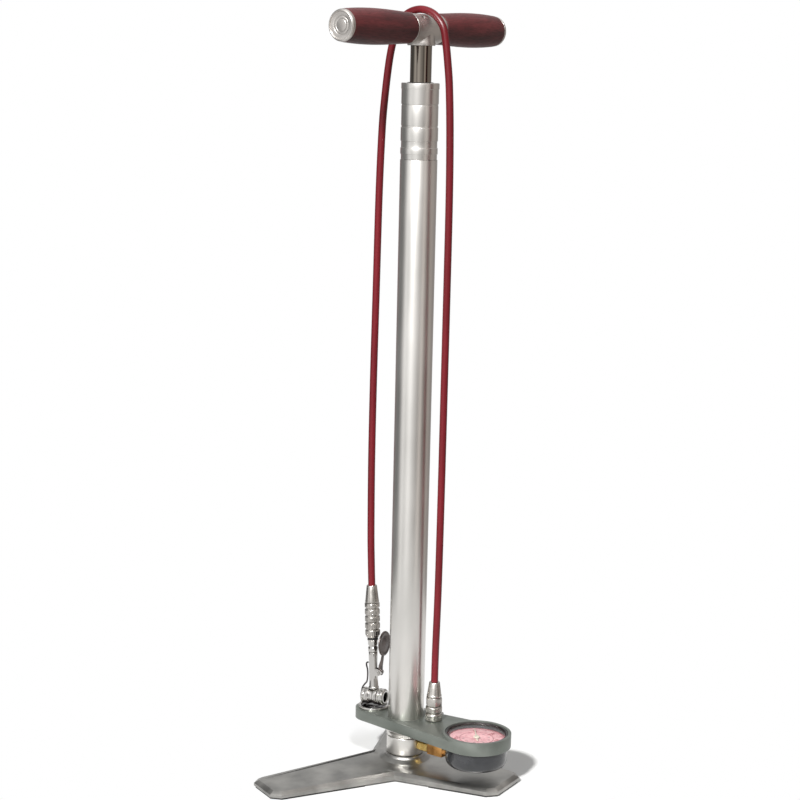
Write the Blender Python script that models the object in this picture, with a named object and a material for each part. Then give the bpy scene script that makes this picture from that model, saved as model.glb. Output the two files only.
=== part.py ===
"""Floor bike pump: three-legged cast stand, alloy barrel, gauge yoke, hose, chuck and tee handle.

Metres, +Z up. The stand rests on Z = 0, the handle runs along X, the gauge is towards -Y
and the chuck dock towards +Y. Everything hangs from one empty whose origin is the barrel's axis.
"""
import math

import bmesh
import bpy
from mathutils import Matrix, Vector

MM = 0.001
GAP = 0.3 * MM                      # left between pieces that touch

# Heights up the barrel's axis.
CASTING_FLOOR = 2.0 * MM
BOSS_TOP = 16.0 * MM
COLLAR_TOP = 33.7 * MM
YOKE_BOTTOM = 42.2 * MM
YOKE_TOP = 52.2 * MM
PLUG_TOP = 58.0 * MM
PISTON_BOTTOM = 74.0 * MM
BARREL_SHOULDER = 595.0 * MM        # the top cap starts here
BARREL_TOP = 645.4 * MM
CAP_TOP = 665.5 * MM
ROD_TOP = 703.7 * MM
HANDLE_AXIS = 715.0 * MM

# Radii.
BARREL_R = 17.5 * MM
BORE_R = 15.5 * MM
ROD_R = 10.0 * MM
ROD_BORE_R = 8.4 * MM
COLLAR_R = 18.3 * MM
HUB_R = 13.3 * MM
BAR_R = 5.0 * MM
HOSE_R = 3.5 * MM

# Layout in plan, from the barrel's axis.
GAUGE_OUT = 84.2 * MM
GAUGE_R = 29.8 * MM
GAUGE_RIM_R = 33.2 * MM
DOCK_OUT = 39.7 * MM
DOCK_R = 18.0 * MM
FITTING_AT = (7.0 * MM, -28.5 * MM)
HUB_HALF = 23.0 * MM
GRIP_END = 117.0 * MM
HANDLE_HALF = 121.0 * MM

# Legs of the stand: heading in degrees, reach, half width at the tip and at the centre.
LEGS = {
    "gauge_side": (-83.5, 115.0 * MM, 29.0 * MM, 46.0 * MM),
    "left": (157.0, 157.0 * MM, 24.0 * MM, 36.0 * MM),
    "right": (30.0, 157.0 * MM, 24.0 * MM, 36.0 * MM),
}
LEG_TOP_AT_HUB = 10.0 * MM
LEG_SLOPE = 0.018                   # how fast a leg's top falls outwards
LEG_BEVEL = 4.5 * MM
LEG_BEVEL_DROP = 2.6 * MM
TIP_CLIP = 7.0 * MM

# Chuck on its dock.
CHUCK_HEAD_Z = 63.4 * MM
CHUCK_LEAN = 2.76                   # degrees, leaning away from the barrel
CHUCK_HEADING = -80.0               # degrees, the way the mouth points
CHUCK_TOP = 113.1 * MM              # hose end above the head's centre
LEVER_PIVOT = (7.4 * MM, 25.0 * MM)   # out from the stem's axis, above the head's centre

ROUND = 28                          # facets of a large turned piece
SMALL = 16                          # facets of a small one

HOSE_ROUTE = [                      # from the fitting, over the hub, down to the chuck
    (7.0, -28.5, 91.3), (7.0, -28.7, 120), (6.6, -30.3, 190), (5.6, -31.6, 280),
    (4.4, -32.7, 380), (3.0, -33.9, 470), (1.6, -34.8, 560), (0.6, -34.4, 620),
    (0.1, -32.7, 662), (0, -30.4, 684), (0, -27.5, 703), (0, -23.5, 717.7),
    (0, -12.7, 728.5), (0, 2.0, 732.4), (0, 16.7, 728.5), (0, 27.5, 717.7),
    (0, 33.0, 702), (0, 37.2, 682), (0, 41.2, 650), (0, 43.6, 620), (0, 45.6, 560),
    (0, 46.8, 470), (0, 48.0, 380), (0, 48.3, 300), (0, 47.4, 230), (0, 46.3, 200),
]
HOSE_POINTS = 78
ARCH_FROM = 0.69                    # the hose bends tightly above this height


# ---------------------------------------------------------------- helpers

def clear_scene():
    for item in list(bpy.data.objects):
        bpy.data.objects.remove(item, do_unlink=True)


def material(name, color, roughness, metallic=0.0, alpha=1.0):
    made = bpy.data.materials.get(name)
    if made:
        return made
    made = bpy.data.materials.new(name)
    made.use_nodes = True
    shader = made.node_tree.nodes["Principled BSDF"]
    shader.inputs["Base Color"].default_value = (*color, 1.0)
    shader.inputs["Roughness"].default_value = roughness
    shader.inputs["Metallic"].default_value = metallic
    shader.inputs["Alpha"].default_value = alpha
    return made


def cast_metal():
    return material("cast_metal", (0.42, 0.41, 0.40), 0.42, 1.0)


def satin_alloy():
    return material("satin_alloy", (0.62, 0.60, 0.57), 0.30, 1.0)


def chrome():
    return material("chrome", (0.72, 0.71, 0.70), 0.08, 1.0)


def machined_steel():
    return material("machined_steel", (0.58, 0.56, 0.54), 0.25, 1.0)


def brass():
    return material("brass", (0.72, 0.52, 0.22), 0.28, 1.0)


def black_rubber():
    return material("black_rubber", (0.02, 0.02, 0.02), 0.8)


def yoke_finish():
    return material("yoke_finish", (0.17, 0.20, 0.19), 0.45, 0.6)


def black_gloss():
    return material("black_gloss", (0.015, 0.016, 0.018), 0.2)


def dark_chrome():
    return material("dark_chrome", (0.25, 0.22, 0.22), 0.12, 1.0)


def clear_glass():
    return material("clear_glass", (0.95, 0.95, 0.95), 0.03, 0.0, 0.3)


def dial_print():
    return material("dial_print", (0.75, 0.35, 0.40), 0.6)


def needle_paint():
    return material("needle_paint", (0.86, 0.80, 0.70), 0.5)


def rosewood():
    return material("rosewood", (0.10, 0.022, 0.022), 0.35)


def hose_rubber():
    return material("hose_rubber", (0.32, 0.02, 0.04), 0.4)


def oiled_leather():
    return material("oiled_leather", (0.22, 0.12, 0.06), 0.6)


def bearing_plastic():
    return material("bearing_plastic", (0.75, 0.73, 0.68), 0.5)


def lever_coating():
    return material("lever_coating", (0.12, 0.10, 0.095), 0.4, 0.5)


def dark_magnet():
    return material("dark_magnet", (0.08, 0.08, 0.085), 0.35, 1.0)


def finish(name, bm, look, parent, place=None):
    """Make the object from a closed bmesh, faces outward."""
    bmesh.ops.remove_doubles(bm, verts=bm.verts, dist=0.00001)
    bmesh.ops.recalc_face_normals(bm, faces=bm.faces)
    mesh = bpy.data.meshes.new(name)
    bm.to_mesh(mesh)
    bm.free()
    mesh.shade_smooth()
    mesh.set_sharp_from_angle(angle=math.radians(35))
    made = bpy.data.objects.new(name, mesh)
    bpy.context.collection.objects.link(made)
    mesh.materials.append(look)
    made.parent = parent
    if place is not None:
        made.matrix_local = place
    return made


def turned(name, profile, look, parent, place=None, facets=ROUND):
    """Spin a closed outline of (radius, height) points about the local Z axis."""
    bm = bmesh.new()
    verts = [bm.verts.new((radius, 0.0, height)) for radius, height in profile]
    edges = [bm.edges.new((verts[i - 1], verts[i])) for i in range(len(verts))]
    on_axis = [e for e in edges if all(v.co.x < 1e-7 for v in e.verts)]
    bmesh.ops.delete(bm, geom=on_axis, context="EDGES")
    bmesh.ops.spin(bm, geom=bm.verts[:] + bm.edges[:], cent=(0, 0, 0), axis=(0, 0, 1),
                   angle=math.tau, steps=facets)
    return finish(name, bm, look, parent, place)


def tube(name, inner, outer, low, high, look, parent, place=None, facets=ROUND):
    outline = [(inner, low), (outer, low), (outer, high), (inner, high)]
    return turned(name, outline, look, parent, place, facets)


def rod(name, radius, low, high, look, parent, place=None, facets=SMALL):
    outline = [(0.0, low), (radius, low), (radius, high), (0.0, high)]
    return turned(name, outline, look, parent, place, facets)


def prism(name, outline, low, high, look, parent, place=None):
    """Extrude a plan outline of (x, y) points."""
    bm = bmesh.new()
    face = bm.faces.new([bm.verts.new((x, y, low)) for x, y in outline])
    raised = bmesh.ops.extrude_face_region(bm, geom=[face])["geom"]
    top = [v for v in raised if isinstance(v, bmesh.types.BMVert)]
    bmesh.ops.translate(bm, verts=top, vec=(0, 0, high - low))
    return finish(name, bm, look, parent, place)


def boolean(target, operand, operation):
    """Join or cut, and keep the operand out of the model."""
    step = target.modifiers.new(operand.name, "BOOLEAN")
    step.operation = operation
    step.object = operand
    step.solver = "EXACT"
    operand.hide_render = True
    operand.display_type = "WIRE"


def cut(target, operand):
    boolean(target, operand, "DIFFERENCE")


def join(target, operand):
    boolean(target, operand, "UNION")


def polygon(sides, across_flats, turn=0.0):
    """Corners of a regular nut."""
    radius = across_flats / 2 / math.cos(math.pi / sides)
    return [(radius * math.cos(math.tau * i / sides + turn),
             radius * math.sin(math.tau * i / sides + turn)) for i in range(sides)]


def along_x(x, y, z, flip=False):
    """Place a turned piece so that its axis runs along X, outwards."""
    turn = Matrix.Rotation(math.radians(-90 if flip else 90), 4, "Y")
    return Matrix.Translation((x, y, z)) @ turn


def smooth_path(route, count):
    """Points on a Catmull-Rom curve through the route, twice as close in the tight arch."""
    points = [Vector(p) * MM for p in route]
    ends = [2 * points[0] - points[1]] + points + [2 * points[-1] - points[-2]]
    fine = []
    for p0, p1, p2, p3 in zip(ends, ends[1:], ends[2:], ends[3:]):
        for i in range(16):
            t = i / 16
            fine.append(0.5 * (2 * p1 + (p2 - p0) * t + (2 * p0 - 5 * p1 + 4 * p2 - p3) * t ** 2
                               + (3 * p1 - p0 - 3 * p2 + p3) * t ** 3))
    fine.append(points[-1])
    travelled = [0.0]
    for a, b in zip(fine, fine[1:]):
        weight = 2.0 if b.z > ARCH_FROM else 1.0
        travelled.append(travelled[-1] + (b - a).length * weight)
    even = []
    at = 0
    for i in range(count):
        goal = travelled[-1] * i / (count - 1)
        while at < len(fine) - 2 and travelled[at + 1] < goal:
            at += 1
        share = (goal - travelled[at]) / (travelled[at + 1] - travelled[at])
        even.append(fine[at].lerp(fine[at + 1], min(share, 1.0)))
    return even


def wire(name, points, radius, look, parent, place=None, sides=2):
    """A round wire or hose along the points."""
    curve = bpy.data.curves.new(name, "CURVE")
    curve.dimensions = "3D"
    curve.bevel_depth = radius
    curve.bevel_resolution = sides
    curve.use_fill_caps = True
    spline = curve.splines.new("POLY")
    spline.points.add(len(points) - 1)
    for spot, point in zip(spline.points, points):
        spot.co = (*point, 1.0)
    curve.materials.append(look)
    made = bpy.data.objects.new(name, curve)
    bpy.context.collection.objects.link(made)
    made.parent = parent
    if place is not None:
        made.matrix_local = place
    return made


def empty(name, parent=None, place=None):
    made = bpy.data.objects.new(name, None)
    bpy.context.collection.objects.link(made)
    made.parent = parent
    if place is not None:
        made.matrix_local = place
    return made


# ---------------------------------------------------------------- stand

def leg_outline(reach, tip_half, centre_half, inset=0.0):
    """A tapered leg along +X with clipped tip corners."""
    slope = (centre_half - tip_half) / reach
    tip = reach - inset
    half = tip_half - inset
    clip_half = half + slope * TIP_CLIP * 1.2
    return [(0.0, -centre_half + inset), (tip - TIP_CLIP * 1.2, -clip_half), (tip, -half + TIP_CLIP),
            (tip, half - TIP_CLIP), (tip - TIP_CLIP * 1.2, clip_half), (0.0, centre_half - inset)]


def leg(name, spec, parent):
    """One leg: upright edge, bevelled shoulder and a flat top that falls outwards."""
    turn, reach, tip_half, centre_half = spec
    bm = bmesh.new()
    outline = leg_outline(reach, tip_half, centre_half)
    floor = bm.faces.new([bm.verts.new((x, y, CASTING_FLOOR)) for x, y in outline])
    raised = bmesh.ops.extrude_face_region(bm, geom=[floor])["geom"]
    top = [f for f in raised if isinstance(f, bmesh.types.BMFace)]
    shoulder = [v for v in raised if isinstance(v, bmesh.types.BMVert)]
    bmesh.ops.inset_region(bm, faces=top, thickness=LEG_BEVEL, use_even_offset=True)
    plateau = list(top[0].verts)
    for vert in plateau:
        vert.co.z = LEG_TOP_AT_HUB - LEG_SLOPE * vert.co.x
    for vert in shoulder:
        if vert not in plateau:
            vert.co.z = LEG_TOP_AT_HUB - LEG_SLOPE * vert.co.x - LEG_BEVEL_DROP
    return finish(name, bm, cast_metal(), parent, Matrix.Rotation(math.radians(turn), 4, "Z"))


def base_casting(parent):
    boss = turned("base_casting", [
        (4.4 * MM, CASTING_FLOOR + 8.3 * MM), (7.2 * MM, CASTING_FLOOR + 8.3 * MM),
        (7.2 * MM, CASTING_FLOOR), (39.0 * MM, CASTING_FLOOR), (39.0 * MM, 7.5 * MM),
        (35.0 * MM, 10.6 * MM), (25.0 * MM, 11.4 * MM), (20.0 * MM, 13.6 * MM),
        (19.4 * MM, BOSS_TOP - 0.6 * MM), (18.8 * MM, BOSS_TOP), (4.4 * MM, BOSS_TOP)],
        cast_metal(), parent)
    for side, spec in LEGS.items():
        join(boss, leg("leg_shape_" + side, spec, parent))
    bore = rod("bolt_hole_shape", 4.4 * MM, -5 * MM, 30 * MM, cast_metal(), parent, facets=ROUND)
    recess = rod("bolt_head_shape", 7.2 * MM, -5 * MM, CASTING_FLOOR + 8.3 * MM, cast_metal(),
                 parent, facets=ROUND)
    cut(boss, bore)
    cut(boss, recess)


def foot_pads(parent):
    for side, (turn, reach, tip_half, centre_half) in LEGS.items():
        inner = 62.0 * MM if reach > 0.13 else 48.0 * MM
        outline = leg_outline(reach, tip_half, centre_half, inset=1.2 * MM)
        slope = (centre_half - tip_half) / reach
        inner_half = centre_half - slope * inner - 1.2 * MM
        outline[0] = (inner, -inner_half)
        outline[-1] = (inner, inner_half)
        prism("foot_pad_" + side, outline, 0.0, CASTING_FLOOR - GAP, black_rubber(), parent,
              Matrix.Rotation(math.radians(turn), 4, "Z"))


def base_bolt(parent):
    head_low = 3.2 * MM
    head_high = CASTING_FLOOR + 8.3 * MM - GAP
    turned("base_bolt", [
        (0.0, head_low + 3.0 * MM), (3.4 * MM, head_low + 3.0 * MM), (3.4 * MM, head_low),
        (6.6 * MM, head_low), (6.6 * MM, head_high), (4.0 * MM, head_high),
        (4.0 * MM, 31.0 * MM), (0.0, 31.0 * MM)], machined_steel(), parent, facets=SMALL)


def lower_collar(parent):
    low = BOSS_TOP + GAP
    turned("lower_collar", [
        (0.0, 31.6 * MM), (4.4 * MM, 31.6 * MM), (4.4 * MM, low), (17.6 * MM, low),
        (COLLAR_R, low + 0.7 * MM), (COLLAR_R, COLLAR_TOP - 0.5 * MM),
        (COLLAR_R - 0.5 * MM, COLLAR_TOP), (BORE_R - GAP, COLLAR_TOP), (BORE_R - GAP, 48.0 * MM),
        (BORE_R - 1.6 * MM, 48.0 * MM), (BORE_R - 1.6 * MM, 51.0 * MM),
        (BORE_R - GAP, 51.0 * MM), (BORE_R - GAP, PLUG_TOP), (7.0 * MM, PLUG_TOP),
        (7.0 * MM, 44.0 * MM), (0.0, 44.0 * MM)], satin_alloy(), parent)
    tube("plug_seal", BORE_R - 1.3 * MM, BORE_R - GAP, 48.3 * MM, 50.7 * MM, black_rubber(), parent)


def check_valve(parent):
    tube("valve_seat", 2.5 * MM, 6.7 * MM, 54.3 * MM, 57.7 * MM, brass(), parent, facets=SMALL)
    coil = []
    turns, per_turn = 4, 12
    low, high, radius, wire_r = 44.8 * MM, 51.0 * MM, 3.6 * MM, 0.45 * MM
    for i in range(turns * per_turn + 1):
        share = i / (turns * per_turn)
        angle = math.tau * turns * share
        coil.append((radius * math.cos(angle), radius * math.sin(angle), low + (high - low) * share))
    wire("valve_spring", coil, wire_r, machined_steel(), parent, sides=1)
    disc = empty("valve_disc_axis", parent)
    rod("valve_disc", 5.2 * MM, 51.9 * MM, 54.0 * MM, black_rubber(), disc)


# ---------------------------------------------------------------- barrel

def barrel(parent):
    spigot_r = BARREL_R - 1.1 * MM
    turned("barrel_tube", [
        (BORE_R, COLLAR_TOP + GAP), (BARREL_R, COLLAR_TOP + GAP), (BARREL_R, BARREL_SHOULDER - GAP),
        (spigot_r, BARREL_SHOULDER - GAP), (spigot_r, BARREL_TOP), (BORE_R, BARREL_TOP)],
        satin_alloy(), parent)
    turned("yoke_lock_ring", [
        (BARREL_R + GAP, COLLAR_TOP + 0.8 * MM), (18.6 * MM, COLLAR_TOP + 0.8 * MM),
        (18.6 * MM, 37.5 * MM), (20.6 * MM, 40.2 * MM), (20.6 * MM, YOKE_BOTTOM - GAP),
        (BARREL_R + GAP, YOKE_BOTTOM - GAP)], satin_alloy(), parent)


def top_cap(parent):
    """Sleeve over the barrel's spigot, with turned bands and grooves."""
    full, band, fine = BARREL_R, BARREL_R - 0.55 * MM, BARREL_R - 0.25 * MM
    steps = [(595.2, 600.0, band), (600.0, 606.0, full), (606.0, 612.0, band),
             (612.0, 624.8, full), (624.8, 626.4, band), (626.4, 644.8, fine),
             (644.8, 646.0, band), (646.0, 660.0, full)]
    outer = []
    for low, high, radius in steps:
        outer += [(radius, low * MM), (radius, high * MM)]
    flange_r = BARREL_R + 0.3 * MM
    outer += [(flange_r, 660.0 * MM), (flange_r, CAP_TOP - 0.5 * MM), (flange_r - 0.5 * MM, CAP_TOP)]
    inner = [(12.9 * MM, CAP_TOP), (12.9 * MM, 661.6 * MM), (16.2 * MM, 661.6 * MM),
             (16.2 * MM, BARREL_TOP + GAP), (BARREL_R - 0.8 * MM, BARREL_TOP + GAP),
             (BARREL_R - 0.8 * MM, 595.2 * MM)]
    turned("top_cap", outer + inner, satin_alloy(), parent)
    tube("rod_bearing", ROD_R + GAP, 15.9 * MM, BARREL_TOP + GAP, 661.3 * MM, bearing_plastic(), parent)
    tube("rod_wiper", ROD_R + GAP, 12.6 * MM, 661.6 * MM, CAP_TOP + 0.6 * MM, black_rubber(), parent)


# ---------------------------------------------------------------- yoke, dock and gauge

def arc(centre, radius, start, end, steps):
    return [(centre[0] + radius * math.cos(math.radians(start + (end - start) * i / steps)),
             centre[1] + radius * math.sin(math.radians(start + (end - start) * i / steps)))
            for i in range(steps + 1)]


def yoke_outline():
    """Two round ends joined by their common tangents."""
    spread = math.degrees(math.asin((GAUGE_RIM_R - DOCK_R) / (GAUGE_OUT + DOCK_OUT)))
    gauge_end = arc((0, -GAUGE_OUT), GAUGE_RIM_R, -180 - spread, spread, 32)
    dock_end = arc((0, DOCK_OUT), DOCK_R, spread, 180 - spread, 16)
    return gauge_end + dock_end


def yoke(parent):
    plate = prism("yoke_plate", yoke_outline(), YOKE_BOTTOM, YOKE_TOP, yoke_finish(), parent)
    at_gauge = Matrix.Translation((0, -GAUGE_OUT, 0))
    at_dock = Matrix.Translation((0, DOCK_OUT, 0))
    rim = tube("rim_shape", GAUGE_RIM_R - 6 * MM, GAUGE_RIM_R - 0.02 * MM, YOKE_TOP - 1 * MM,
               54.7 * MM, yoke_finish(), parent, at_gauge)
    join(plate, rim)
    cut(plate, rod("gauge_bore_shape", GAUGE_R + 0.4 * MM, 0, 80 * MM, yoke_finish(), parent,
                   at_gauge, ROUND))
    cut(plate, rod("barrel_bore_shape", BARREL_R + GAP, 0, 80 * MM, yoke_finish(), parent,
                   facets=ROUND))
    cut(plate, rod("dock_bore_shape", 14.3 * MM, 0, 80 * MM, yoke_finish(), parent, at_dock, ROUND))
    cut(plate, rod("fitting_bore_shape", 5.4 * MM, 0, 80 * MM, yoke_finish(), parent,
                   Matrix.Translation((*FITTING_AT, 0))))


def dock(parent):
    place = Matrix.Translation((0, DOCK_OUT, 0))
    turned("dock_cup", [
        (0.0, 40.2 * MM), (13.2 * MM, 40.2 * MM), (14.0 * MM, 41.0 * MM),
        (14.0 * MM, YOKE_TOP + GAP), (15.2 * MM, YOKE_TOP + GAP), (15.2 * MM, 54.7 * MM),
        (14.8 * MM, 55.0 * MM), (12.6 * MM, 55.0 * MM), (12.6 * MM, 49.7 * MM), (0.0, 49.7 * MM)],
        satin_alloy(), parent, place)
    rod("dock_magnet", 12.3 * MM, 50.0 * MM, 54.2 * MM, dark_magnet(), parent, place, ROUND)


def gauge(parent):
    place = Matrix.Translation((0, -GAUGE_OUT, 0))
    inner = GAUGE_R - 1.5 * MM
    turned("gauge_case", [
        (0.0, 22.5 * MM), (23.0 * MM, 22.5 * MM), (26.8 * MM, 23.6 * MM), (29.2 * MM, 26.6 * MM),
        (GAUGE_R, 30.5 * MM), (GAUGE_R, 50.6 * MM), (inner, 50.6 * MM), (inner, 31.0 * MM),
        (25.0 * MM, 25.2 * MM), (0.0, 25.2 * MM)], black_gloss(), parent, place)
    tube("gauge_dial", 1.6 * MM, inner - GAP, 47.5 * MM, 48.5 * MM, dial_print(), parent, place)
    rod("gauge_glass", GAUGE_R - 0.2 * MM, 50.9 * MM, 52.1 * MM, clear_glass(), parent, place, ROUND)
    turned("gauge_bezel", [
        (27.4 * MM, 52.4 * MM), (29.9 * MM, 52.4 * MM), (29.9 * MM, 54.2 * MM), (28.6 * MM, 54.2 * MM)],
        dark_chrome(), parent, place)
    prism("gauge_movement", [(-9 * MM, -6 * MM), (9 * MM, -6 * MM), (9 * MM, 21 * MM), (-9 * MM, 21 * MM)],
          25.5 * MM, 34.0 * MM, brass(), parent, place)
    bourdon = [(18.5 * MM * math.cos(a), 18.5 * MM * math.sin(a), 39.5 * MM)
               for a in [math.radians(100 + 250 * i / 30) for i in range(31)]]
    wire("bourdon_tube", bourdon, 2.4 * MM, brass(), parent, place, sides=1)
    pivot = empty("needle_axis", parent, place @ Matrix.Rotation(math.radians(39), 4, "Z"))
    turned("needle_shaft", [
        (0.0, 35.0 * MM), (1.1 * MM, 35.0 * MM), (1.1 * MM, 37.0 * MM), (3.0 * MM, 37.0 * MM),
        (3.0 * MM, 41.0 * MM), (1.1 * MM, 41.0 * MM), (1.1 * MM, 49.0 * MM), (0.0, 49.0 * MM)],
        machined_steel(), pivot, facets=16)
    pointer = prism("gauge_needle", [
        (-9.0 * MM, -1.3 * MM), (0.0, -1.3 * MM), (24.0 * MM, -0.35 * MM), (24.0 * MM, 0.35 * MM),
        (0.0, 1.3 * MM), (-9.0 * MM, 1.3 * MM)], 49.3 * MM, 50.0 * MM, needle_paint(), pivot)
    join(pointer, rod("needle_boss_shape", 3.0 * MM, 49.3 * MM, 50.5 * MM, needle_paint(), pivot,
                      facets=16))


def gauge_feed(parent):
    """Brass nut and block that carry air from the collar to the gauge."""
    toward_gauge = Matrix.Translation((0, 0, 27.0 * MM)) @ Matrix.Rotation(math.radians(90), 4, "X")
    prism("gauge_nut", polygon(6, 11.4 * MM), COLLAR_R + GAP, 30.0 * MM, brass(), parent,
          toward_gauge)
    block = prism("gauge_block", polygon(4, 11.0 * MM, math.radians(45)), 30.3 * MM, 48.0 * MM,
                  brass(), parent, toward_gauge)
    join(block, rod("gauge_stub_shape", 5.0 * MM, 47.0 * MM, 54.0 * MM, brass(), parent,
                    toward_gauge))


# ---------------------------------------------------------------- hose

def hose_end(parent):
    place = Matrix.Translation((*FITTING_AT, 0))
    turned("hose_fitting", [
        (0.0, 44.0 * MM), (5.0 * MM, 44.0 * MM), (5.0 * MM, YOKE_TOP + GAP), (7.6 * MM, YOKE_TOP + GAP),
        (8.3 * MM, 53.4 * MM), (8.3 * MM, 58.4 * MM), (7.2 * MM, 59.4 * MM), (7.2 * MM, 60.4 * MM),
        (8.1 * MM, 61.4 * MM), (8.1 * MM, 65.6 * MM), (7.2 * MM, 66.7 * MM), (0.0, 66.7 * MM)],
        machined_steel(), parent, place, SMALL)
    prism("hose_hex_nut", polygon(6, 14.2 * MM, math.radians(15)), 67.0 * MM, 75.7 * MM,
          machined_steel(), parent, place)
    turned("hose_ferrule", [
        (0.0, 76.0 * MM), (7.3 * MM, 76.0 * MM), (7.3 * MM, 78.0 * MM), (5.2 * MM, 91.0 * MM),
        (0.0, 91.0 * MM)], machined_steel(), parent, place, SMALL)


def hose_route():
    lean = math.radians(CHUCK_LEAN)
    chuck_end = (0.0, DOCK_OUT / MM + CHUCK_TOP / MM * math.sin(lean),
                 CHUCK_HEAD_Z / MM + CHUCK_TOP / MM * math.cos(lean))
    return HOSE_ROUTE + [chuck_end]


def air_hose(parent):
    wire("air_hose", smooth_path(hose_route(), HOSE_POINTS), HOSE_R, hose_rubber(), parent, sides=2)


# ---------------------------------------------------------------- chuck

def chuck(parent):
    """Drawn about the head's centre: local X is the way the mouth points, local Z up the stem."""
    lean = Matrix.Rotation(math.radians(-CHUCK_LEAN), 4, "X")
    turn = Matrix.Rotation(math.radians(CHUCK_HEADING), 4, "Z")
    frame = empty("chuck_frame", parent,
                  Matrix.Translation((0, DOCK_OUT, CHUCK_HEAD_Z)) @ lean @ turn)
    head_place = Matrix.Rotation(math.radians(90), 4, "Y")
    turned("chuck_head", [
        (0.0, -12.0 * MM), (6.9 * MM, -12.0 * MM), (7.9 * MM, -11.0 * MM), (7.9 * MM, -4.0 * MM),
        (7.0 * MM, -3.0 * MM), (7.0 * MM, 0.8 * MM), (7.9 * MM, 1.8 * MM), (7.9 * MM, 5.3 * MM),
        (0.0, 5.3 * MM)], chrome(), frame, head_place, SMALL)
    tube("chuck_nose", 4.5 * MM, 8.3 * MM, 5.6 * MM, 13.0 * MM, chrome(), frame, head_place, SMALL)
    tube("chuck_gasket", 2.6 * MM, 4.2 * MM, 5.6 * MM, 8.0 * MM, black_rubber(), frame, head_place,
         SMALL)
    stem = turned("chuck_stem", [
        (0.0, 8.2 * MM), (5.2 * MM, 8.2 * MM), (5.2 * MM, 9.6 * MM), (4.5 * MM, 10.6 * MM),
        (4.5 * MM, 45.5 * MM), (0.0, 45.5 * MM)], chrome(), frame, facets=SMALL)
    out, up = LEVER_PIVOT
    flat = Matrix.Rotation(math.radians(90), 4, "X")
    ear = [(2.0 * MM, up - 4.0 * MM), (out + 1.2 * MM, up - 3.0 * MM), (out + 2.8 * MM, up),
           (out + 1.2 * MM, up + 3.0 * MM), (2.0 * MM, up + 4.0 * MM)]
    for side, low in (("near", 1.7 * MM), ("far", -3.1 * MM)):
        join(stem, prism("ear_shape_" + side, ear, low, low + 1.4 * MM, chrome(), frame, flat))
    pin_place = Matrix.Translation((out, 0, up)) @ flat
    cut(stem, rod("ear_hole_shape", 1.5 * MM, -6 * MM, 6 * MM, chrome(), frame, pin_place))
    rod("lever_pin", 1.2 * MM, -3.4 * MM, 3.4 * MM, machined_steel(), frame, pin_place)
    turned("chuck_swivel", [
        (0.0, 45.8 * MM), (4.9 * MM, 45.8 * MM), (4.9 * MM, 50.0 * MM), (4.3 * MM, 50.8 * MM),
        (4.3 * MM, 52.2 * MM), (4.9 * MM, 53.0 * MM), (4.9 * MM, 56.0 * MM), (5.6 * MM, 58.5 * MM),
        (0.0, 58.5 * MM)], chrome(), frame, facets=SMALL)
    rod("chuck_ring", 5.4 * MM, 58.8 * MM, 60.2 * MM, black_rubber(), frame)
    ridges = [(0.0, 60.5 * MM), (6.4 * MM, 60.5 * MM)]
    for low in (63.0, 70.0, 77.0, 84.0):
        ridges += [(7.4 * MM, low * MM), (7.4 * MM, (low + 4.4) * MM), (6.5 * MM, (low + 5.2) * MM),
                   (6.5 * MM, (low + 6.2) * MM)]
    ridges += [(7.4 * MM, 91.0 * MM), (7.4 * MM, 95.3 * MM), (0.0, 95.3 * MM)]
    turned("chuck_coupling", ridges, machined_steel(), frame, facets=SMALL)
    turned("chuck_ferrule", [
        (0.0, 95.6 * MM), (6.8 * MM, 95.6 * MM), (4.9 * MM, CHUCK_TOP - GAP), (0.0, CHUCK_TOP - GAP)],
        machined_steel(), frame, facets=SMALL)
    hook = [(-5.6, 0, 34.0), (-7.4, 0, 33.0), (-7.6, 0, 30.5), (-6.6, 0, 26.0), (-6.6, 0, 20.0),
            (-7.6, 0, 14.0), (-10.5, 0, 10.5), (-13.0, 0, 6.5), (-14.0, 0, 0.0), (-13.2, 0, -5.5)]
    wire("chuck_hook", [Vector(p) * MM for p in hook], 0.8 * MM, machined_steel(), frame, sides=1)
    return frame


def chuck_lever(frame):
    """Thumb disc on a flat arm, turning on the pin."""
    out, up = LEVER_PIVOT
    pivot = empty("lever_axis", frame, Matrix.Translation((out, 0, up)))
    flat = Matrix.Rotation(math.radians(90), 4, "X")
    arm = prism("chuck_lever", [
        (-1.2 * MM, -2.4 * MM), (1.6 * MM, -2.4 * MM), (2.9 * MM, 0.0), (4.0 * MM, 12.0 * MM),
        (5.6 * MM, 22.0 * MM), (5.6 * MM, 40.0 * MM), (4.6 * MM, 40.0 * MM), (4.2 * MM, 22.0 * MM),
        (1.4 * MM, 12.0 * MM), (-1.2 * MM, 6.0 * MM)], -1.3 * MM, 1.3 * MM, lever_coating(),
        pivot, flat)
    disc_place = Matrix.Translation((5.4 * MM, 0, 30.0 * MM)) @ Matrix.Rotation(math.radians(90), 4, "Y")
    disc = turned("lever_disc_shape", [
        (0.0, -1.0 * MM), (11.6 * MM, -1.0 * MM), (12.3 * MM, -0.2 * MM), (12.0 * MM, 0.6 * MM),
        (7.0 * MM, 1.2 * MM), (0.0, 1.5 * MM)], lever_coating(), pivot, disc_place, 28)
    join(arm, disc)
    cut(arm, rod("lever_hole_shape", 1.5 * MM, -6 * MM, 6 * MM, lever_coating(), pivot, flat))


# ---------------------------------------------------------------- piston and handle

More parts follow.
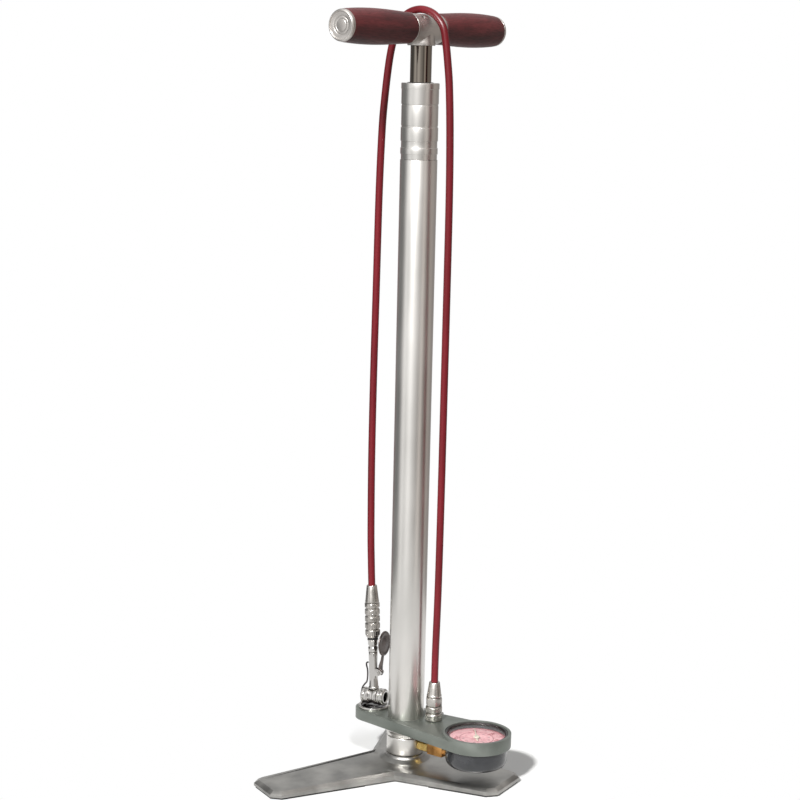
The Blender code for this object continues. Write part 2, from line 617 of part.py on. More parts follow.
def piston(parent):
    low = PISTON_BOTTOM
    turned("piston_cup", [
        (3.3 * MM, low + 8.6 * MM), (13.0 * MM, low + 8.6 * MM), (13.4 * MM, low), (15.0 * MM, low),
        (15.0 * MM, low + 10.8 * MM), (14.2 * MM, low + 11.6 * MM), (3.3 * MM, low + 11.6 * MM)],
        oiled_leather(), parent)
    turned("piston_body", [
        (3.3 * MM, low + 11.9 * MM), (14.7 * MM, low + 11.9 * MM), (14.7 * MM, low + 34.0 * MM),
        (ROD_R + GAP, low + 34.0 * MM), (ROD_R + GAP, low + 21.7 * MM), (3.3 * MM, low + 21.7 * MM)],
        satin_alloy(), parent)
    bolt = rod("piston_bolt", 3.0 * MM, low + 8.0 * MM, low + 30.0 * MM, machined_steel(), parent)
    join(bolt, prism("bolt_hex_shape", polygon(6, 10.0 * MM), low + 3.0 * MM, low + 8.3 * MM,
                     machined_steel(), parent))
    tube("piston_rod", ROD_BORE_R, ROD_R, low + 22.0 * MM, ROD_TOP, chrome(), parent)


def handle(parent):
    """Tee hub with a steel bar through it, turned wooden grips and metal end caps."""
    neck = turned("handle_hub", [
        (0.0, 699.5 * MM), (13.0 * MM, 699.5 * MM),
        (13.0 * MM, 701.5 * MM), (12.2 * MM, 703.5 * MM), (12.2 * MM, HANDLE_AXIS), (0.0, HANDLE_AXIS)],
        machined_steel(), parent)
    centre = along_x(0, 0, HANDLE_AXIS)
    flange_in, flange_r = HUB_HALF - 3.5 * MM, 13.8 * MM
    sleeve = turned("sleeve_shape", [
        (0.0, -HUB_HALF), (flange_r, -HUB_HALF), (flange_r, -flange_in), (HUB_R, -flange_in + 1.5 * MM),
        (HUB_R, flange_in - 1.5 * MM), (flange_r, flange_in), (flange_r, HUB_HALF), (0.0, HUB_HALF)],
        machined_steel(), parent, centre)
    join(neck, sleeve)
    cut(neck, rod("rod_socket_shape", ROD_R + GAP, 690 * MM, ROD_TOP + GAP, machined_steel(), parent,
                  facets=ROUND))
    cut(neck, rod("bar_bore_shape", BAR_R + GAP, -60 * MM, 60 * MM, machined_steel(), parent, centre))
    screw_place = (Matrix.Translation((-9.0 * MM, 0, HANDLE_AXIS))
                   @ Matrix.Rotation(math.radians(38), 4, "X"))
    cut(neck, rod("screw_hole_shape", 2.3 * MM, 0, 30 * MM, machined_steel(), parent, screw_place))
    turned("hub_set_screw", [
        (0.0, BAR_R + GAP), (2.0 * MM, BAR_R + GAP), (2.0 * MM, 12.4 * MM), (1.1 * MM, 12.4 * MM),
        (1.1 * MM, 10.4 * MM), (0.0, 10.4 * MM)], machined_steel(), parent, screw_place, 16)
    rod("handle_bar", BAR_R, -HANDLE_HALF + 3.3 * MM, HANDLE_HALF - 3.3 * MM, machined_steel(), parent,
        centre)
    swell = [(23.3, 13.9), (24.5, 14.3), (34.0, 14.7), (46.0, 15.3), (60.0, 15.9), (75.0, 16.2),
             (90.0, 16.05), (102.0, 15.6), (110.0, 15.1), (GRIP_END / MM, 14.4)]
    for side, flip in (("right", False), ("left", True)):
        place = along_x(0, 0, HANDLE_AXIS, flip)
        outline = ([(BAR_R + GAP, HUB_HALF + GAP)] + [(r * MM, a * MM) for a, r in swell]
                   + [(BAR_R + GAP, GRIP_END)])
        turned("grip_" + side, outline, rosewood(), parent, place, 32)
        cap_in = GRIP_END + GAP
        turned("end_cap_" + side, [
            (BAR_R + GAP, cap_in), (14.0 * MM, cap_in), (14.3 * MM, cap_in + 0.5 * MM),
            (14.3 * MM, 118.8 * MM), (13.0 * MM, HANDLE_HALF), (12.2 * MM, HANDLE_HALF),
            (12.0 * MM, 120.2 * MM), (0.0, 120.2 * MM), (0.0, 118.2 * MM),
            (BAR_R + GAP, 118.2 * MM)], machined_steel(), parent, place, 32)


# ---------------------------------------------------------------- assembly

CORD_NODES = ("air_hose", "hose_ferrule", "chuck_head", "chuck_nose", "chuck_gasket", "chuck_stem",
              "lever_pin", "chuck_swivel", "chuck_ring", "chuck_coupling", "chuck_ferrule",
              "chuck_hook", "chuck_lever")


def centre_on_origin(stand):
    """Stand the pump so that its box, less the hose and chuck, is centred on the origin in plan."""
    bpy.context.view_layer.update()
    graph = bpy.context.evaluated_depsgraph_get()
    points = []
    for item in bpy.data.objects:
        if item.type != "MESH" or item.hide_render or item.name in CORD_NODES:
            continue
        solid = item.evaluated_get(graph)
        points += [solid.matrix_world @ vert.co for vert in solid.data.vertices]
    stand.location.x = -(min(p.x for p in points) + max(p.x for p in points)) / 2
    stand.location.y = -(min(p.y for p in points) + max(p.y for p in points)) / 2
    bpy.context.view_layer.update()


def build():
    clear_scene()
    stand = empty("stand")
    base_casting(stand)
    foot_pads(stand)
    base_bolt(stand)
    lower_collar(stand)
    check_valve(stand)
    barrel(stand)
    top_cap(stand)
    yoke(stand)
    dock(stand)
    gauge(stand)
    gauge_feed(stand)
    hose_end(stand)
    air_hose(stand)
    frame = chuck(stand)
    chuck_lever(frame)
    slide = empty("piston_axis", stand)
    piston(slide)
    turn = empty("handle_axis", slide)
    handle(turn)
    centre_on_origin(stand)


build()
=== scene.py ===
import math

import bpy
from mathutils import Matrix, Vector


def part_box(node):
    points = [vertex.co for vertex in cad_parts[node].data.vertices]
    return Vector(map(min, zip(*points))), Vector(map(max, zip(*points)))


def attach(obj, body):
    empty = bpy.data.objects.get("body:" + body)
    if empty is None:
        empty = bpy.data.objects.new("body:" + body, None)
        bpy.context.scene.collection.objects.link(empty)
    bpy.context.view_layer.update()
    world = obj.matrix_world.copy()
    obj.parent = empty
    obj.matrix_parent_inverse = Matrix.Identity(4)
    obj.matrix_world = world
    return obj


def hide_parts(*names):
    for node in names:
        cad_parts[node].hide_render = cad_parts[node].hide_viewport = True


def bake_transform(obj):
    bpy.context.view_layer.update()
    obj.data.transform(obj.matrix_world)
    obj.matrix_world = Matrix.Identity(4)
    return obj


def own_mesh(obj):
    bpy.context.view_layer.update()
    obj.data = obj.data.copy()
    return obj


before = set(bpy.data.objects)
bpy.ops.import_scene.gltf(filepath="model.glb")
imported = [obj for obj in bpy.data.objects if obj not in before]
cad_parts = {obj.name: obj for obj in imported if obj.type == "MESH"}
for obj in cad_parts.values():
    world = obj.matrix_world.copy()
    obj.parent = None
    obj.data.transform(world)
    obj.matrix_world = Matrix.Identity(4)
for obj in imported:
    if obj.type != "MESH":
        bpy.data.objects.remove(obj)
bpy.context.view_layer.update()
mm = 0.001
hairGap = 1e-6             # corners nearer than this are one corner
print("frame loaded")


def middle(node):
    low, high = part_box(node)
    return (low + high) / 2


axisX, axisY = middle("barrel_tube").xy     # the barrel's axis
gaugeAt = Vector((axisX, middle("gauge_case").y, 0))
dockAt = Vector((axisX, middle("dock_cup").y, 0))
fittingAt = Vector((*middle("hose_fitting").xy, 0))
barrelAt = Vector((axisX, axisY, 0))
handleZ = middle("handle_bar").z

camera = {"lens": 86.2, "distance": 1.7987, "height": 0.6884, "heading": -54.0,
          "pitch": 10.14, "yaw": -0.40, "roll": 1.26}


def makeCamera():
    bpy.ops.object.camera_add()
    cam = bpy.context.object
    cam.name = "studioCamera"
    cam.data.lens = camera["lens"]
    cam.data.sensor_width = 36
    turn = Matrix.Rotation(math.radians(camera["heading"]), 3, "Z")
    pitch, yaw, roll = (math.radians(camera[k]) for k in ("pitch", "yaw", "roll"))
    forward = turn @ Vector((math.sin(yaw) * math.cos(pitch), math.cos(yaw) * math.cos(pitch),
                             -math.sin(pitch)))
    right = turn @ Vector((math.cos(yaw), -math.sin(yaw), 0))
    up = right.cross(forward)
    leanRight = right * math.cos(roll) + up * math.sin(roll)
    leanUp = leanRight.cross(forward)
    spot = barrelAt + turn @ Vector((0, -camera["distance"], camera["height"]))
    cam.matrix_world = Matrix((
        (leanRight.x, leanUp.x, -forward.x, spot.x),
        (leanRight.y, leanUp.y, -forward.y, spot.y),
        (leanRight.z, leanUp.z, -forward.z, spot.z),
        (0, 0, 0, 1)))
    bpy.context.scene.camera = cam


makeCamera()
print("camera placed")


def newMaterial(name, color, rough, metal=0.0, **extra):
    made = bpy.data.materials.new(name)
    made.use_nodes = True
    shader = made.node_tree.nodes["Principled BSDF"]
    shader.inputs["Base Color"].default_value = (*color, 1)
    shader.inputs["Roughness"].default_value = rough
    shader.inputs["Metallic"].default_value = metal
    for key, value in extra.items():
        shader.inputs[key.replace("_", " ")].default_value = value
    return made


def addNode(made, kind, **values):
    node = made.node_tree.nodes.new(kind)
    for key, value in values.items():
        if key in node.inputs:
            node.inputs[key].default_value = value
        else:
            setattr(node, key, value)
    return node


def wire(made, source, out, target, into):
    made.node_tree.links.new(source.outputs[out], target.inputs[into])


def grain(made, scale, stretch=(1, 1, 1), detail=4.0, coords="Object", rough=0.5):
    where = addNode(made, "ShaderNodeTexCoord")
    mapping = addNode(made, "ShaderNodeMapping")
    mapping.inputs["Scale"].default_value = stretch
    wire(made, where, coords, mapping, "Vector")
    noise = addNode(made, "ShaderNodeTexNoise", Scale=scale, Detail=detail, Roughness=rough)
    wire(made, mapping, "Vector", noise, "Vector")
    return noise


def ramp(made, source, out, stops):
    node = addNode(made, "ShaderNodeValToRGB")
    elements = node.color_ramp.elements
    while len(elements) < len(stops):
        elements.new(0.5)
    for element, (place, color) in zip(elements, stops):
        element.position = place
        element.color = (*color, 1) if len(color) == 3 else color
    wire(made, source, out, node, "Fac")
    return node


def roughen(made, noise, low, high):
    spread = addNode(made, "ShaderNodeMapRange")
    spread.inputs["From Min"].default_value = 0.3
    spread.inputs["From Max"].default_value = 0.7
    spread.inputs["To Min"].default_value = low
    spread.inputs["To Max"].default_value = high
    wire(made, noise, "Fac", spread, "Value")
    wire(made, spread, "Result", made.node_tree.nodes["Principled BSDF"], "Roughness")


def bump(made, source, out, strength, distance):
    node = addNode(made, "ShaderNodeBump", Strength=strength, Distance=distance)
    wire(made, source, out, node, "Height")
    wire(made, node, "Normal", made.node_tree.nodes["Principled BSDF"], "Normal")
    return node


def tint(made, noise, dark, light, low=0.3, high=0.7):
    colors = ramp(made, noise, "Fac", [(low, dark), (high, light)])
    wire(made, colors, "Color", made.node_tree.nodes["Principled BSDF"], "Base Color")
    return colors


def drawnAlloy():
    made = newMaterial("drawnAlloy", (0.66, 0.64, 0.61), 0.26, 1.0)
    streaks = grain(made, 1.0, (700, 700, 9), 6.0)
    clouds = grain(made, 24.0, (1, 1, 0.35), 3.0)
    tint(made, clouds, (0.60, 0.585, 0.555), (0.72, 0.70, 0.67))
    roughen(made, clouds, 0.29, 0.37)
    bump(made, streaks, "Fac", 0.10, 0.0002)
    return made


def castAlloy():
    made = newMaterial("castAlloy", (0.25, 0.245, 0.235), 0.36, 1.0)
    clouds = grain(made, 34.0, detail=6.0)
    sand = grain(made, 1500.0, detail=3.0)
    tint(made, clouds, (0.21, 0.206, 0.196), (0.42, 0.41, 0.39))
    roughen(made, clouds, 0.28, 0.44)
    bump(made, sand, "Fac", 0.22, 0.00018)
    return made


def turnedSteel():
    made = newMaterial("turnedSteel", (0.60, 0.585, 0.56), 0.24, 1.0)
    lines = grain(made, 1.0, (60, 60, 3600), 4.0)
    clouds = grain(made, 90.0, detail=3.0)
    tint(made, clouds, (0.36, 0.340, 0.315), (0.58, 0.555, 0.52))
    roughen(made, clouds, 0.18, 0.32)
    bump(made, lines, "Fac", 0.10, 0.00012)
    return made


def hubSteel():
    made = newMaterial("hubSteel", (0.52, 0.49, 0.46), 0.36, 1.0)
    clouds = grain(made, 70.0, detail=5.0)
    fine = grain(made, 1100.0, detail=2.0)
    tint(made, clouds, (0.44, 0.415, 0.39), (0.62, 0.59, 0.56))
    roughen(made, clouds, 0.30, 0.45)
    bump(made, fine, "Fac", 0.10, 0.00012)
    return made


def brightChrome(name, level, warm=0.0):
    made = newMaterial(name, (level, level * (0.97 - warm), level * (0.93 - 2 * warm)), 0.07, 1.0)
    clouds = grain(made, 40.0, detail=5.0)
    scuffs = grain(made, 1.0, (900, 900, 40), 5.0)
    roughen(made, clouds, 0.05, 0.12)
    bump(made, scuffs, "Fac", 0.03, 0.0001)
    return made


def yokePaint():
    made = newMaterial("yokePaint", (0.15, 0.175, 0.165), 0.40, 0.55)
    clouds = grain(made, 55.0, (1, 0.5, 1), 6.0)
    fine = grain(made, 1900.0, detail=2.0)
    tint(made, clouds, (0.120, 0.133, 0.117), (0.190, 0.205, 0.184))
    roughen(made, clouds, 0.32, 0.48)
    bump(made, fine, "Fac", 0.12, 0.0001)
    return made


def blackGloss():
    made = newMaterial("blackGloss", (0.012, 0.013, 0.015), 0.22, 0.0, Coat_Weight=0.4,
                       Coat_Roughness=0.08)
    clouds = grain(made, 120.0, detail=4.0)
    tint(made, clouds, (0.010, 0.011, 0.013), (0.022, 0.023, 0.026))
    roughen(made, clouds, 0.18, 0.30)
    return made


def smokedChrome():
    made = newMaterial("smokedChrome", (0.08, 0.072, 0.072), 0.12, 1.0)
    clouds = grain(made, 200.0, detail=4.0)
    tint(made, clouds, (0.055, 0.050, 0.050), (0.11, 0.10, 0.10))
    roughen(made, clouds, 0.08, 0.18)
    return made


def yellowBrass():
    made = newMaterial("yellowBrass", (0.70, 0.47, 0.16), 0.24, 1.0)
    clouds = grain(made, 130.0, detail=5.0)
    lines = grain(made, 1.0, (80, 3000, 80), 3.0)
    tint(made, clouds, (0.68, 0.44, 0.12), (0.92, 0.68, 0.26))
    roughen(made, clouds, 0.18, 0.34)
    bump(made, lines, "Fac", 0.08, 0.0001)
    return made


def agedBrass():
    made = newMaterial("agedBrass", (0.50, 0.28, 0.12), 0.32, 1.0)
    clouds = grain(made, 110.0, detail=5.0)
    tint(made, clouds, (0.42, 0.19, 0.055), (0.68, 0.37, 0.13))
    roughen(made, clouds, 0.24, 0.40)
    bump(made, clouds, "Fac", 0.08, 0.0002)
    return made


def blackRubber():
    made = newMaterial("blackRubber", (0.018, 0.018, 0.018), 0.75)
    fine = grain(made, 900.0, detail=3.0)
    tint(made, fine, (0.012, 0.012, 0.012), (0.028, 0.028, 0.027))
    bump(made, fine, "Fac", 0.2, 0.0002)
    return made


def darkLever():
    made = newMaterial("darkLever", (0.085, 0.070, 0.065), 0.30, 0.7)
    clouds = grain(made, 160.0, detail=5.0)
    tint(made, clouds, (0.050, 0.042, 0.040), (0.15, 0.125, 0.115))
    roughen(made, clouds, 0.22, 0.42)
    bump(made, clouds, "Fac", 0.08, 0.0002)
    return made


def rosewood():
    made = newMaterial("rosewood", (0.09, 0.02, 0.02), 0.44)
    figure = grain(made, 1.0, (14, 95, 95), 5.0, rough=0.6)
    pores = grain(made, 1.0, (120, 1500, 1500), 3.0)
    colors = ramp(made, figure, "Fac", [(0.30, (0.034, 0.004, 0.005)), (0.46, (0.084, 0.010, 0.012)),
                                        (0.58, (0.120, 0.017, 0.019)), (0.72, (0.064, 0.008, 0.010))])
    dots = ramp(made, pores, "Fac", [(0.36, (0.45, 0.45, 0.45)), (0.50, (1, 1, 1))])
    mix = addNode(made, "ShaderNodeMix", data_type="RGBA", blend_type="MULTIPLY")
    mix.inputs["Factor"].default_value = 0.8
    made.node_tree.links.new(colors.outputs["Color"], mix.inputs[6])
    made.node_tree.links.new(dots.outputs["Color"], mix.inputs[7])
    made.node_tree.links.new(mix.outputs[2], made.node_tree.nodes["Principled BSDF"].inputs["Base Color"])
    roughen(made, pores, 0.56, 0.40)
    bump(made, pores, "Fac", 0.16, 0.0002)
    return made


def redHose():
    made = newMaterial("redHose", (0.15, 0.005, 0.010), 0.32, Specular_IOR_Level=0.38)
    where = addNode(made, "ShaderNodeTexCoord")
    lay = addNode(made, "ShaderNodeMapping")
    lay.inputs["Scale"].default_value = (8, 900, 1)
    lay.inputs["Rotation"].default_value = (0, 0, math.radians(0.4))
    wire(made, where, "UV", lay, "Vector")
    ribs = addNode(made, "ShaderNodeTexNoise", Scale=1.0, Detail=3.0)
    wire(made, lay, "Vector", ribs, "Vector")
    clouds = grain(made, 60.0, (1, 1, 0.2), 4.0)
    tint(made, clouds, (0.105, 0.004, 0.007), (0.155, 0.006, 0.012))
    roughen(made, clouds, 0.28, 0.40)
    bump(made, ribs, "Fac", 0.12, 0.0002)
    return made


def dialCard():
    made = newMaterial("dialCard", (0.72, 0.36, 0.38), 0.5)
    mottled = grain(made, 420.0, detail=4.0)
    tint(made, mottled, (0.62, 0.27, 0.30), (0.80, 0.47, 0.48), 0.35, 0.65)
    return made


def plainInk(name, color):
    made = newMaterial(name, color, 0.5)
    fleck = grain(made, 700.0, detail=3.0)
    tint(made, fleck, tuple(c * 0.85 for c in color), color)
    return made


def clearGlass():
    made = newMaterial("clearGlass", (1.0, 1.0, 1.0), 0.03, 0.0, Alpha=0.05, IOR=1.45)
    smear = grain(made, 60.0, detail=3.0)
    roughen(made, smear, 0.02, 0.06)
    return made


def oiledLeather():
    made = newMaterial("oiledLeather", (0.20, 0.10, 0.05), 0.6)
    hide = grain(made, 260.0, detail=6.0)
    tint(made, hide, (0.12, 0.055, 0.025), (0.28, 0.15, 0.08))
    bump(made, hide, "Fac", 0.3, 0.0003)
    return made


def paleNylon():
    made = newMaterial("paleNylon", (0.72, 0.70, 0.64), 0.5)
    clouds = grain(made, 300.0, detail=3.0)
    tint(made, clouds, (0.66, 0.64, 0.58), (0.76, 0.74, 0.68))
    return made


alloy, cast, steel, hubMetal = drawnAlloy(), castAlloy(), turnedSteel(), hubSteel()
chrome, rodChrome = brightChrome("brightChrome", 0.52), brightChrome("rodChrome", 0.24, 0.09)
yokeGrey, gloss, smoked, brassLight, brassDark = (yokePaint(), blackGloss(), smokedChrome(),
                                                  yellowBrass(), agedBrass())
rubber, leverDark, wood, hoseRed, dialPink = blackRubber(), darkLever(), rosewood(), redHose(), dialCard()
inkRed, inkCream = plainInk("inkRed", (0.26, 0.006, 0.016)), plainInk("inkCream", (0.66, 0.60, 0.48))
inkDark = plainInk("inkDark", (0.05, 0.035, 0.04))
glass, leather, nylon = clearGlass(), oiledLeather(), paleNylon()
print("materials made")


def takeModifier(obj, kind, **values):
    bpy.context.view_layer.objects.active = obj
    step = obj.modifiers.new(kind.lower(), kind)
    for key, value in values.items():
        setattr(step, key, value)
    bpy.ops.object.modifier_apply(modifier=step.name)


def soften(obj, width, segments=2, angle=32):
    takeModifier(obj, "BEVEL", width=width, segments=segments, limit_method="ANGLE",
                 angle_limit=math.radians(angle), use_clamp_overlap=True, harden_normals=False)


def combine(target, tool, operation):
    takeModifier(target, "BOOLEAN", operation=operation, object=tool, solver="EXACT")
    bpy.data.objects.remove(tool, do_unlink=True)


def settle():
    bpy.ops.object.transform_apply(location=True, rotation=True, scale=True)


def pull(move):
    bpy.ops.mesh.extrude_region_move(TRANSFORM_OT_translate={"value": move})


def startEdit(name):
    obj = bpy.context.object
    obj.name = name
    obj.data.name = name
    bpy.ops.object.mode_set(mode="EDIT")
    bpy.ops.mesh.select_mode(type="VERT")
    bpy.ops.mesh.select_all(action="SELECT")
    return obj


def leaveEdit():
    bpy.ops.mesh.select_all(action="SELECT")
    bpy.ops.mesh.normals_make_consistent(inside=False)
    bpy.ops.object.mode_set(mode="OBJECT")


def weld(name, gap):
    # joins the corners that lie within the gap of each other
    startEdit(name)
    bpy.ops.mesh.remove_doubles(threshold=gap)
    leaveEdit()


def only(obj):
    bpy.ops.object.select_all(action="DESELECT")
    obj.select_set(True)
    bpy.context.view_layer.objects.active = obj


def lathe(name, profile, steps=96, bored=False):
    # profile is (radius, height) in millimetres; a bored piece closes its last ring on its first
    bpy.ops.object.select_all(action="DESELECT")
    radius, height = profile[0]
    bpy.ops.mesh.primitive_circle_add(vertices=steps, radius=radius * mm, location=(0, 0, height * mm),
                                      fill_type="NOTHING" if bored else "NGON")
    only(bpy.context.object)
    bpy.ops.object.transform_apply(location=True, rotation=False, scale=False)
    obj = startEdit(name)
    for nextRadius, nextHeight in profile[1:]:
        pull((0, 0, (nextHeight - height) * mm))
        if abs(nextRadius - radius) > 1e-6:
            k = nextRadius / radius
            bpy.ops.transform.resize(value=(k, k, 1), center_override=(0, 0, nextHeight * mm))
        radius, height = nextRadius, nextHeight
    if bored:
        bpy.ops.mesh.select_all(action="DESELECT")
        bpy.ops.mesh.select_mode(type="EDGE")
        bpy.ops.mesh.select_non_manifold()
        bpy.ops.mesh.bridge_edge_loops()
    leaveEdit()
    return obj


def block(name, low, high):
    # a box between two corners in millimetres, to be shaped further
    bpy.ops.object.select_all(action="DESELECT")
    centre = [(a + b) / 2 * mm for a, b in zip(low, high)]
    bpy.ops.mesh.primitive_cube_add(size=1, location=centre, scale=[(b - a) * mm for a, b in zip(low, high)])
    obj = bpy.context.object
    obj.name = name
    obj.data.name = name
    only(obj)
    settle()
    return obj


def pickFaces(obj, test):
    # selects the faces whose centre (in millimetres) and normal pass the test, in edit mode
    bpy.ops.object.mode_set(mode="EDIT")
    bpy.ops.mesh.select_mode(type="FACE")
    bpy.ops.mesh.select_all(action="DESELECT")
    bpy.ops.object.mode_set(mode="OBJECT")
    for face in obj.data.polygons:
        face.select = test(face.center / mm, face.normal)
    bpy.ops.object.mode_set(mode="EDIT")


def hexNut(name, across, low, high, turn=0.0, chamfer=0.9, sides=6):
    bpy.ops.object.select_all(action="DESELECT")
    corner = across / 2 / math.cos(math.pi / sides)
    bpy.ops.mesh.primitive_cylinder_add(vertices=sides, radius=corner * mm, depth=(high - low) * mm,
                                        location=(0, 0, (low + high) / 2 * mm),
                                        rotation=(0, 0, math.radians(turn)))
    obj = bpy.context.object
    obj.name = name
    obj.data.name = name
    only(obj)
    settle()
    flat = across / 2 + 0.02
    round_ = [(flat, low - 0.01), (corner + 0.02, low + chamfer), (corner + 0.02, high - chamfer),
              (flat, high + 0.01)]
    combine(obj, lathe(name + "Round", round_, 72), "INTERSECT")
    return obj


def smoothProfile(points, parts=6):
    ends = [points[0]] + list(points) + [points[-1]]
    fine = []
    for a, b, c, d in zip(ends, ends[1:], ends[2:], ends[3:]):
        for i in range(parts):
            t = i / parts
            fine.append(tuple(0.5 * (2 * q + (r - p) * t + (2 * p - 5 * q + 4 * r - s) * t ** 2
                                     + (3 * q - p - 3 * r + s) * t ** 3)
                              for p, q, r, s in zip(a, b, c, d)))
    return fine + [points[-1]]


def finished(obj, place, look, body, nodes=(), smooth=38):
    only(obj)
    obj.matrix_world = place @ obj.matrix_world
    settle()
    bpy.ops.object.shade_smooth_by_angle(angle=math.radians(smooth))
    obj.data.materials.clear()
    obj.data.materials.append(look)
    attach(obj, body)
    if nodes:
        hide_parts(*nodes)
    return obj


def turnedPiece(name, profile, place, look, nodes=(), body="stand", bored=False,
                steps=96, edge=0.3, extra=None):
    obj = lathe(name, profile, steps, bored)
    if extra:
        extra(obj)
    if edge:
        soften(obj, edge * mm, 2, 25)
    return finished(obj, place, look, body, nodes)


def shift(x, y, z=0.0):
    return Matrix.Translation((x, y, z))


def spun(degrees, axis):
    return Matrix.Rotation(math.radians(degrees), 4, axis)


standPlace = shift(axisX, axisY)
gaugePlace = shift(gaugeAt.x, gaugeAt.y)
dockPlace = shift(dockAt.x, dockAt.y)
fittingPlace = shift(fittingAt.x, fittingAt.y)

hose = {
    "radius": 3.5 * mm, "sides": 20, "steps": 420, "blendFrom": 0.21, "blendTo": 0.69,
    "route": [                      # millimetres from the barrel's axis, fitting to chuck
        (7.0, -28.5, 91.3), (7.0, -28.7, 120), (6.6, -30.3, 190), (5.6, -31.6, 280),
        (4.4, -32.7, 380), (3.0, -33.9, 470), (1.6, -34.8, 560), (0.6, -34.4, 620),
        (0.1, -32.7, 662), (0, -30.4, 684), (0, -27.5, 703), (0, -23.5, 717.7),
        (0, -12.7, 728.5), (0, 2.0, 732.4), (0, 16.7, 728.5), (0, 27.5, 717.7),
        (0, 33.0, 702), (0, 37.2, 682), (0, 41.2, 650), (0, 43.6, 620), (0, 45.6, 560),
        (0, 46.8, 470), (0, 48.0, 380), (0, 48.3, 300), (0, 47.4, 230), (0, 46.3, 200)],
}
chuck = {"headZ": 63.4 * mm, "lean": 2.76, "heading": -80.0, "top": 113.1 * mm,
         "pivotOut": 7.4 * mm, "pivotUp": 25.0 * mm}


def hosePath():
    lean = math.radians(chuck["lean"])
    last = Vector((0, dockAt.y - axisY + chuck["top"] * math.sin(lean),
                   chuck["headZ"] + chuck["top"] * math.cos(lean)))
    points = [Vector(p) * mm for p in hose["route"]] + [last]
    ends = [2 * points[0] - points[1]] + points + [2 * points[-1] - points[-2]]
    fine = []
    for a, b, c, d in zip(ends, ends[1:], ends[2:], ends[3:]):
        for i in range(24):
            t = i / 24
            fine.append(0.5 * (2 * b + (c - a) * t + (2 * a - 5 * b + 4 * c - d) * t ** 2
                               + (3 * b - a - 3 * c + d) * t ** 3))
    fine.append(points[-1])
    lengths = [0.0]
    for a, b in zip(fine, fine[1:]):
        lengths.append(lengths[-1] + (b - a).length)
    path, at = [], 0
    for i in range(hose["steps"] + 1):
        goal = lengths[-1] * i / hose["steps"]
        while at < len(fine) - 2 and lengths[at + 1] < goal:
            at += 1
        share = min((goal - lengths[at]) / (lengths[at + 1] - lengths[at]), 1)
        path.append(fine[at].lerp(fine[at + 1], share) + barrelAt)
    return path, lengths[-1]


def makeHose():
    path, length = hosePath()
    sides, radius = hose["sides"], hose["radius"]
    verts, faces, uvs = [], [], []
    for i, point in enumerate(path):
        along = (path[min(i + 1, len(path) - 1)] - path[max(i - 1, 0)]).normalized()
        side = Vector((1, 0, 0))
        side = (side - along * side.dot(along)).normalized()
        other = along.cross(side)
        for j in range(sides):
            turn = math.tau * j / sides
            verts.append(point + (side * math.cos(turn) + other * math.sin(turn)) * radius)
    rings = len(path)
    for i in range(rings - 1):
        for j in range(sides):
            k = (j + 1) % sides
            faces.append((i * sides + j, i * sides + k, (i + 1) * sides + k, (i + 1) * sides + j))
            left, right = j / sides, (j + 1) / sides
            low, high = i / (rings - 1), (i + 1) / (rings - 1)
            uvs += [(left, low), (right, low), (right, high), (left, high)]
    faces.append(tuple(range(sides - 1, -1, -1)))
    faces.append(tuple(range((rings - 1) * sides, rings * sides)))
    uvs += [(0, 0)] * sides + [(0, 1)] * sides
    mesh = bpy.data.meshes.new("airHose")
    mesh.from_pydata(verts, [], faces)
    layer = mesh.uv_layers.new(name="UVMap")
    for spot, uv in zip(layer.data, uvs):
        spot.uv = uv
    obj = bpy.data.objects.new("airHose", mesh)
    bpy.context.collection.objects.link(obj)
    only(obj)
    bpy.ops.object.mode_set(mode="EDIT")
    leaveEdit()
    bpy.ops.object.shade_smooth_by_angle(angle=math.radians(50))
    mesh.materials.append(hoseRed)
    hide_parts("air_hose")
    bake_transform(obj)
    return obj, path, length


airHose, hoseLine, hoseLength = makeHose()
print("hose made", round(hoseLength, 4))


standShape = {
    "legs": {"gauge": (-83.5, 115.0, 29.0, 46.0), "left": (157.0, 157.0, 24.0, 36.0),
             "right": (30.0, 157.0, 24.0, 36.0)},   # heading, reach, half widths at tip and centre
    "floor": 2.0, "topAtHub": 10.0, "slope": 0.018, "bevel": 4.5, "drop": 2.6, "clip": 7.0,
    "boss": [(39, 2), (39, 6.5), (36, 8.6), (30, 9.3), (25, 10.4), (22.5, 12.2), (20.6, 13.4), (19.6, 14.8),
             (19.4, 15.6), (18.8, 16)],
    "boltHole": [(7.2, -5), (7.2, 10.3), (4.4, 10.3), (4.4, 30)],
    "rounding": 0.8,
}


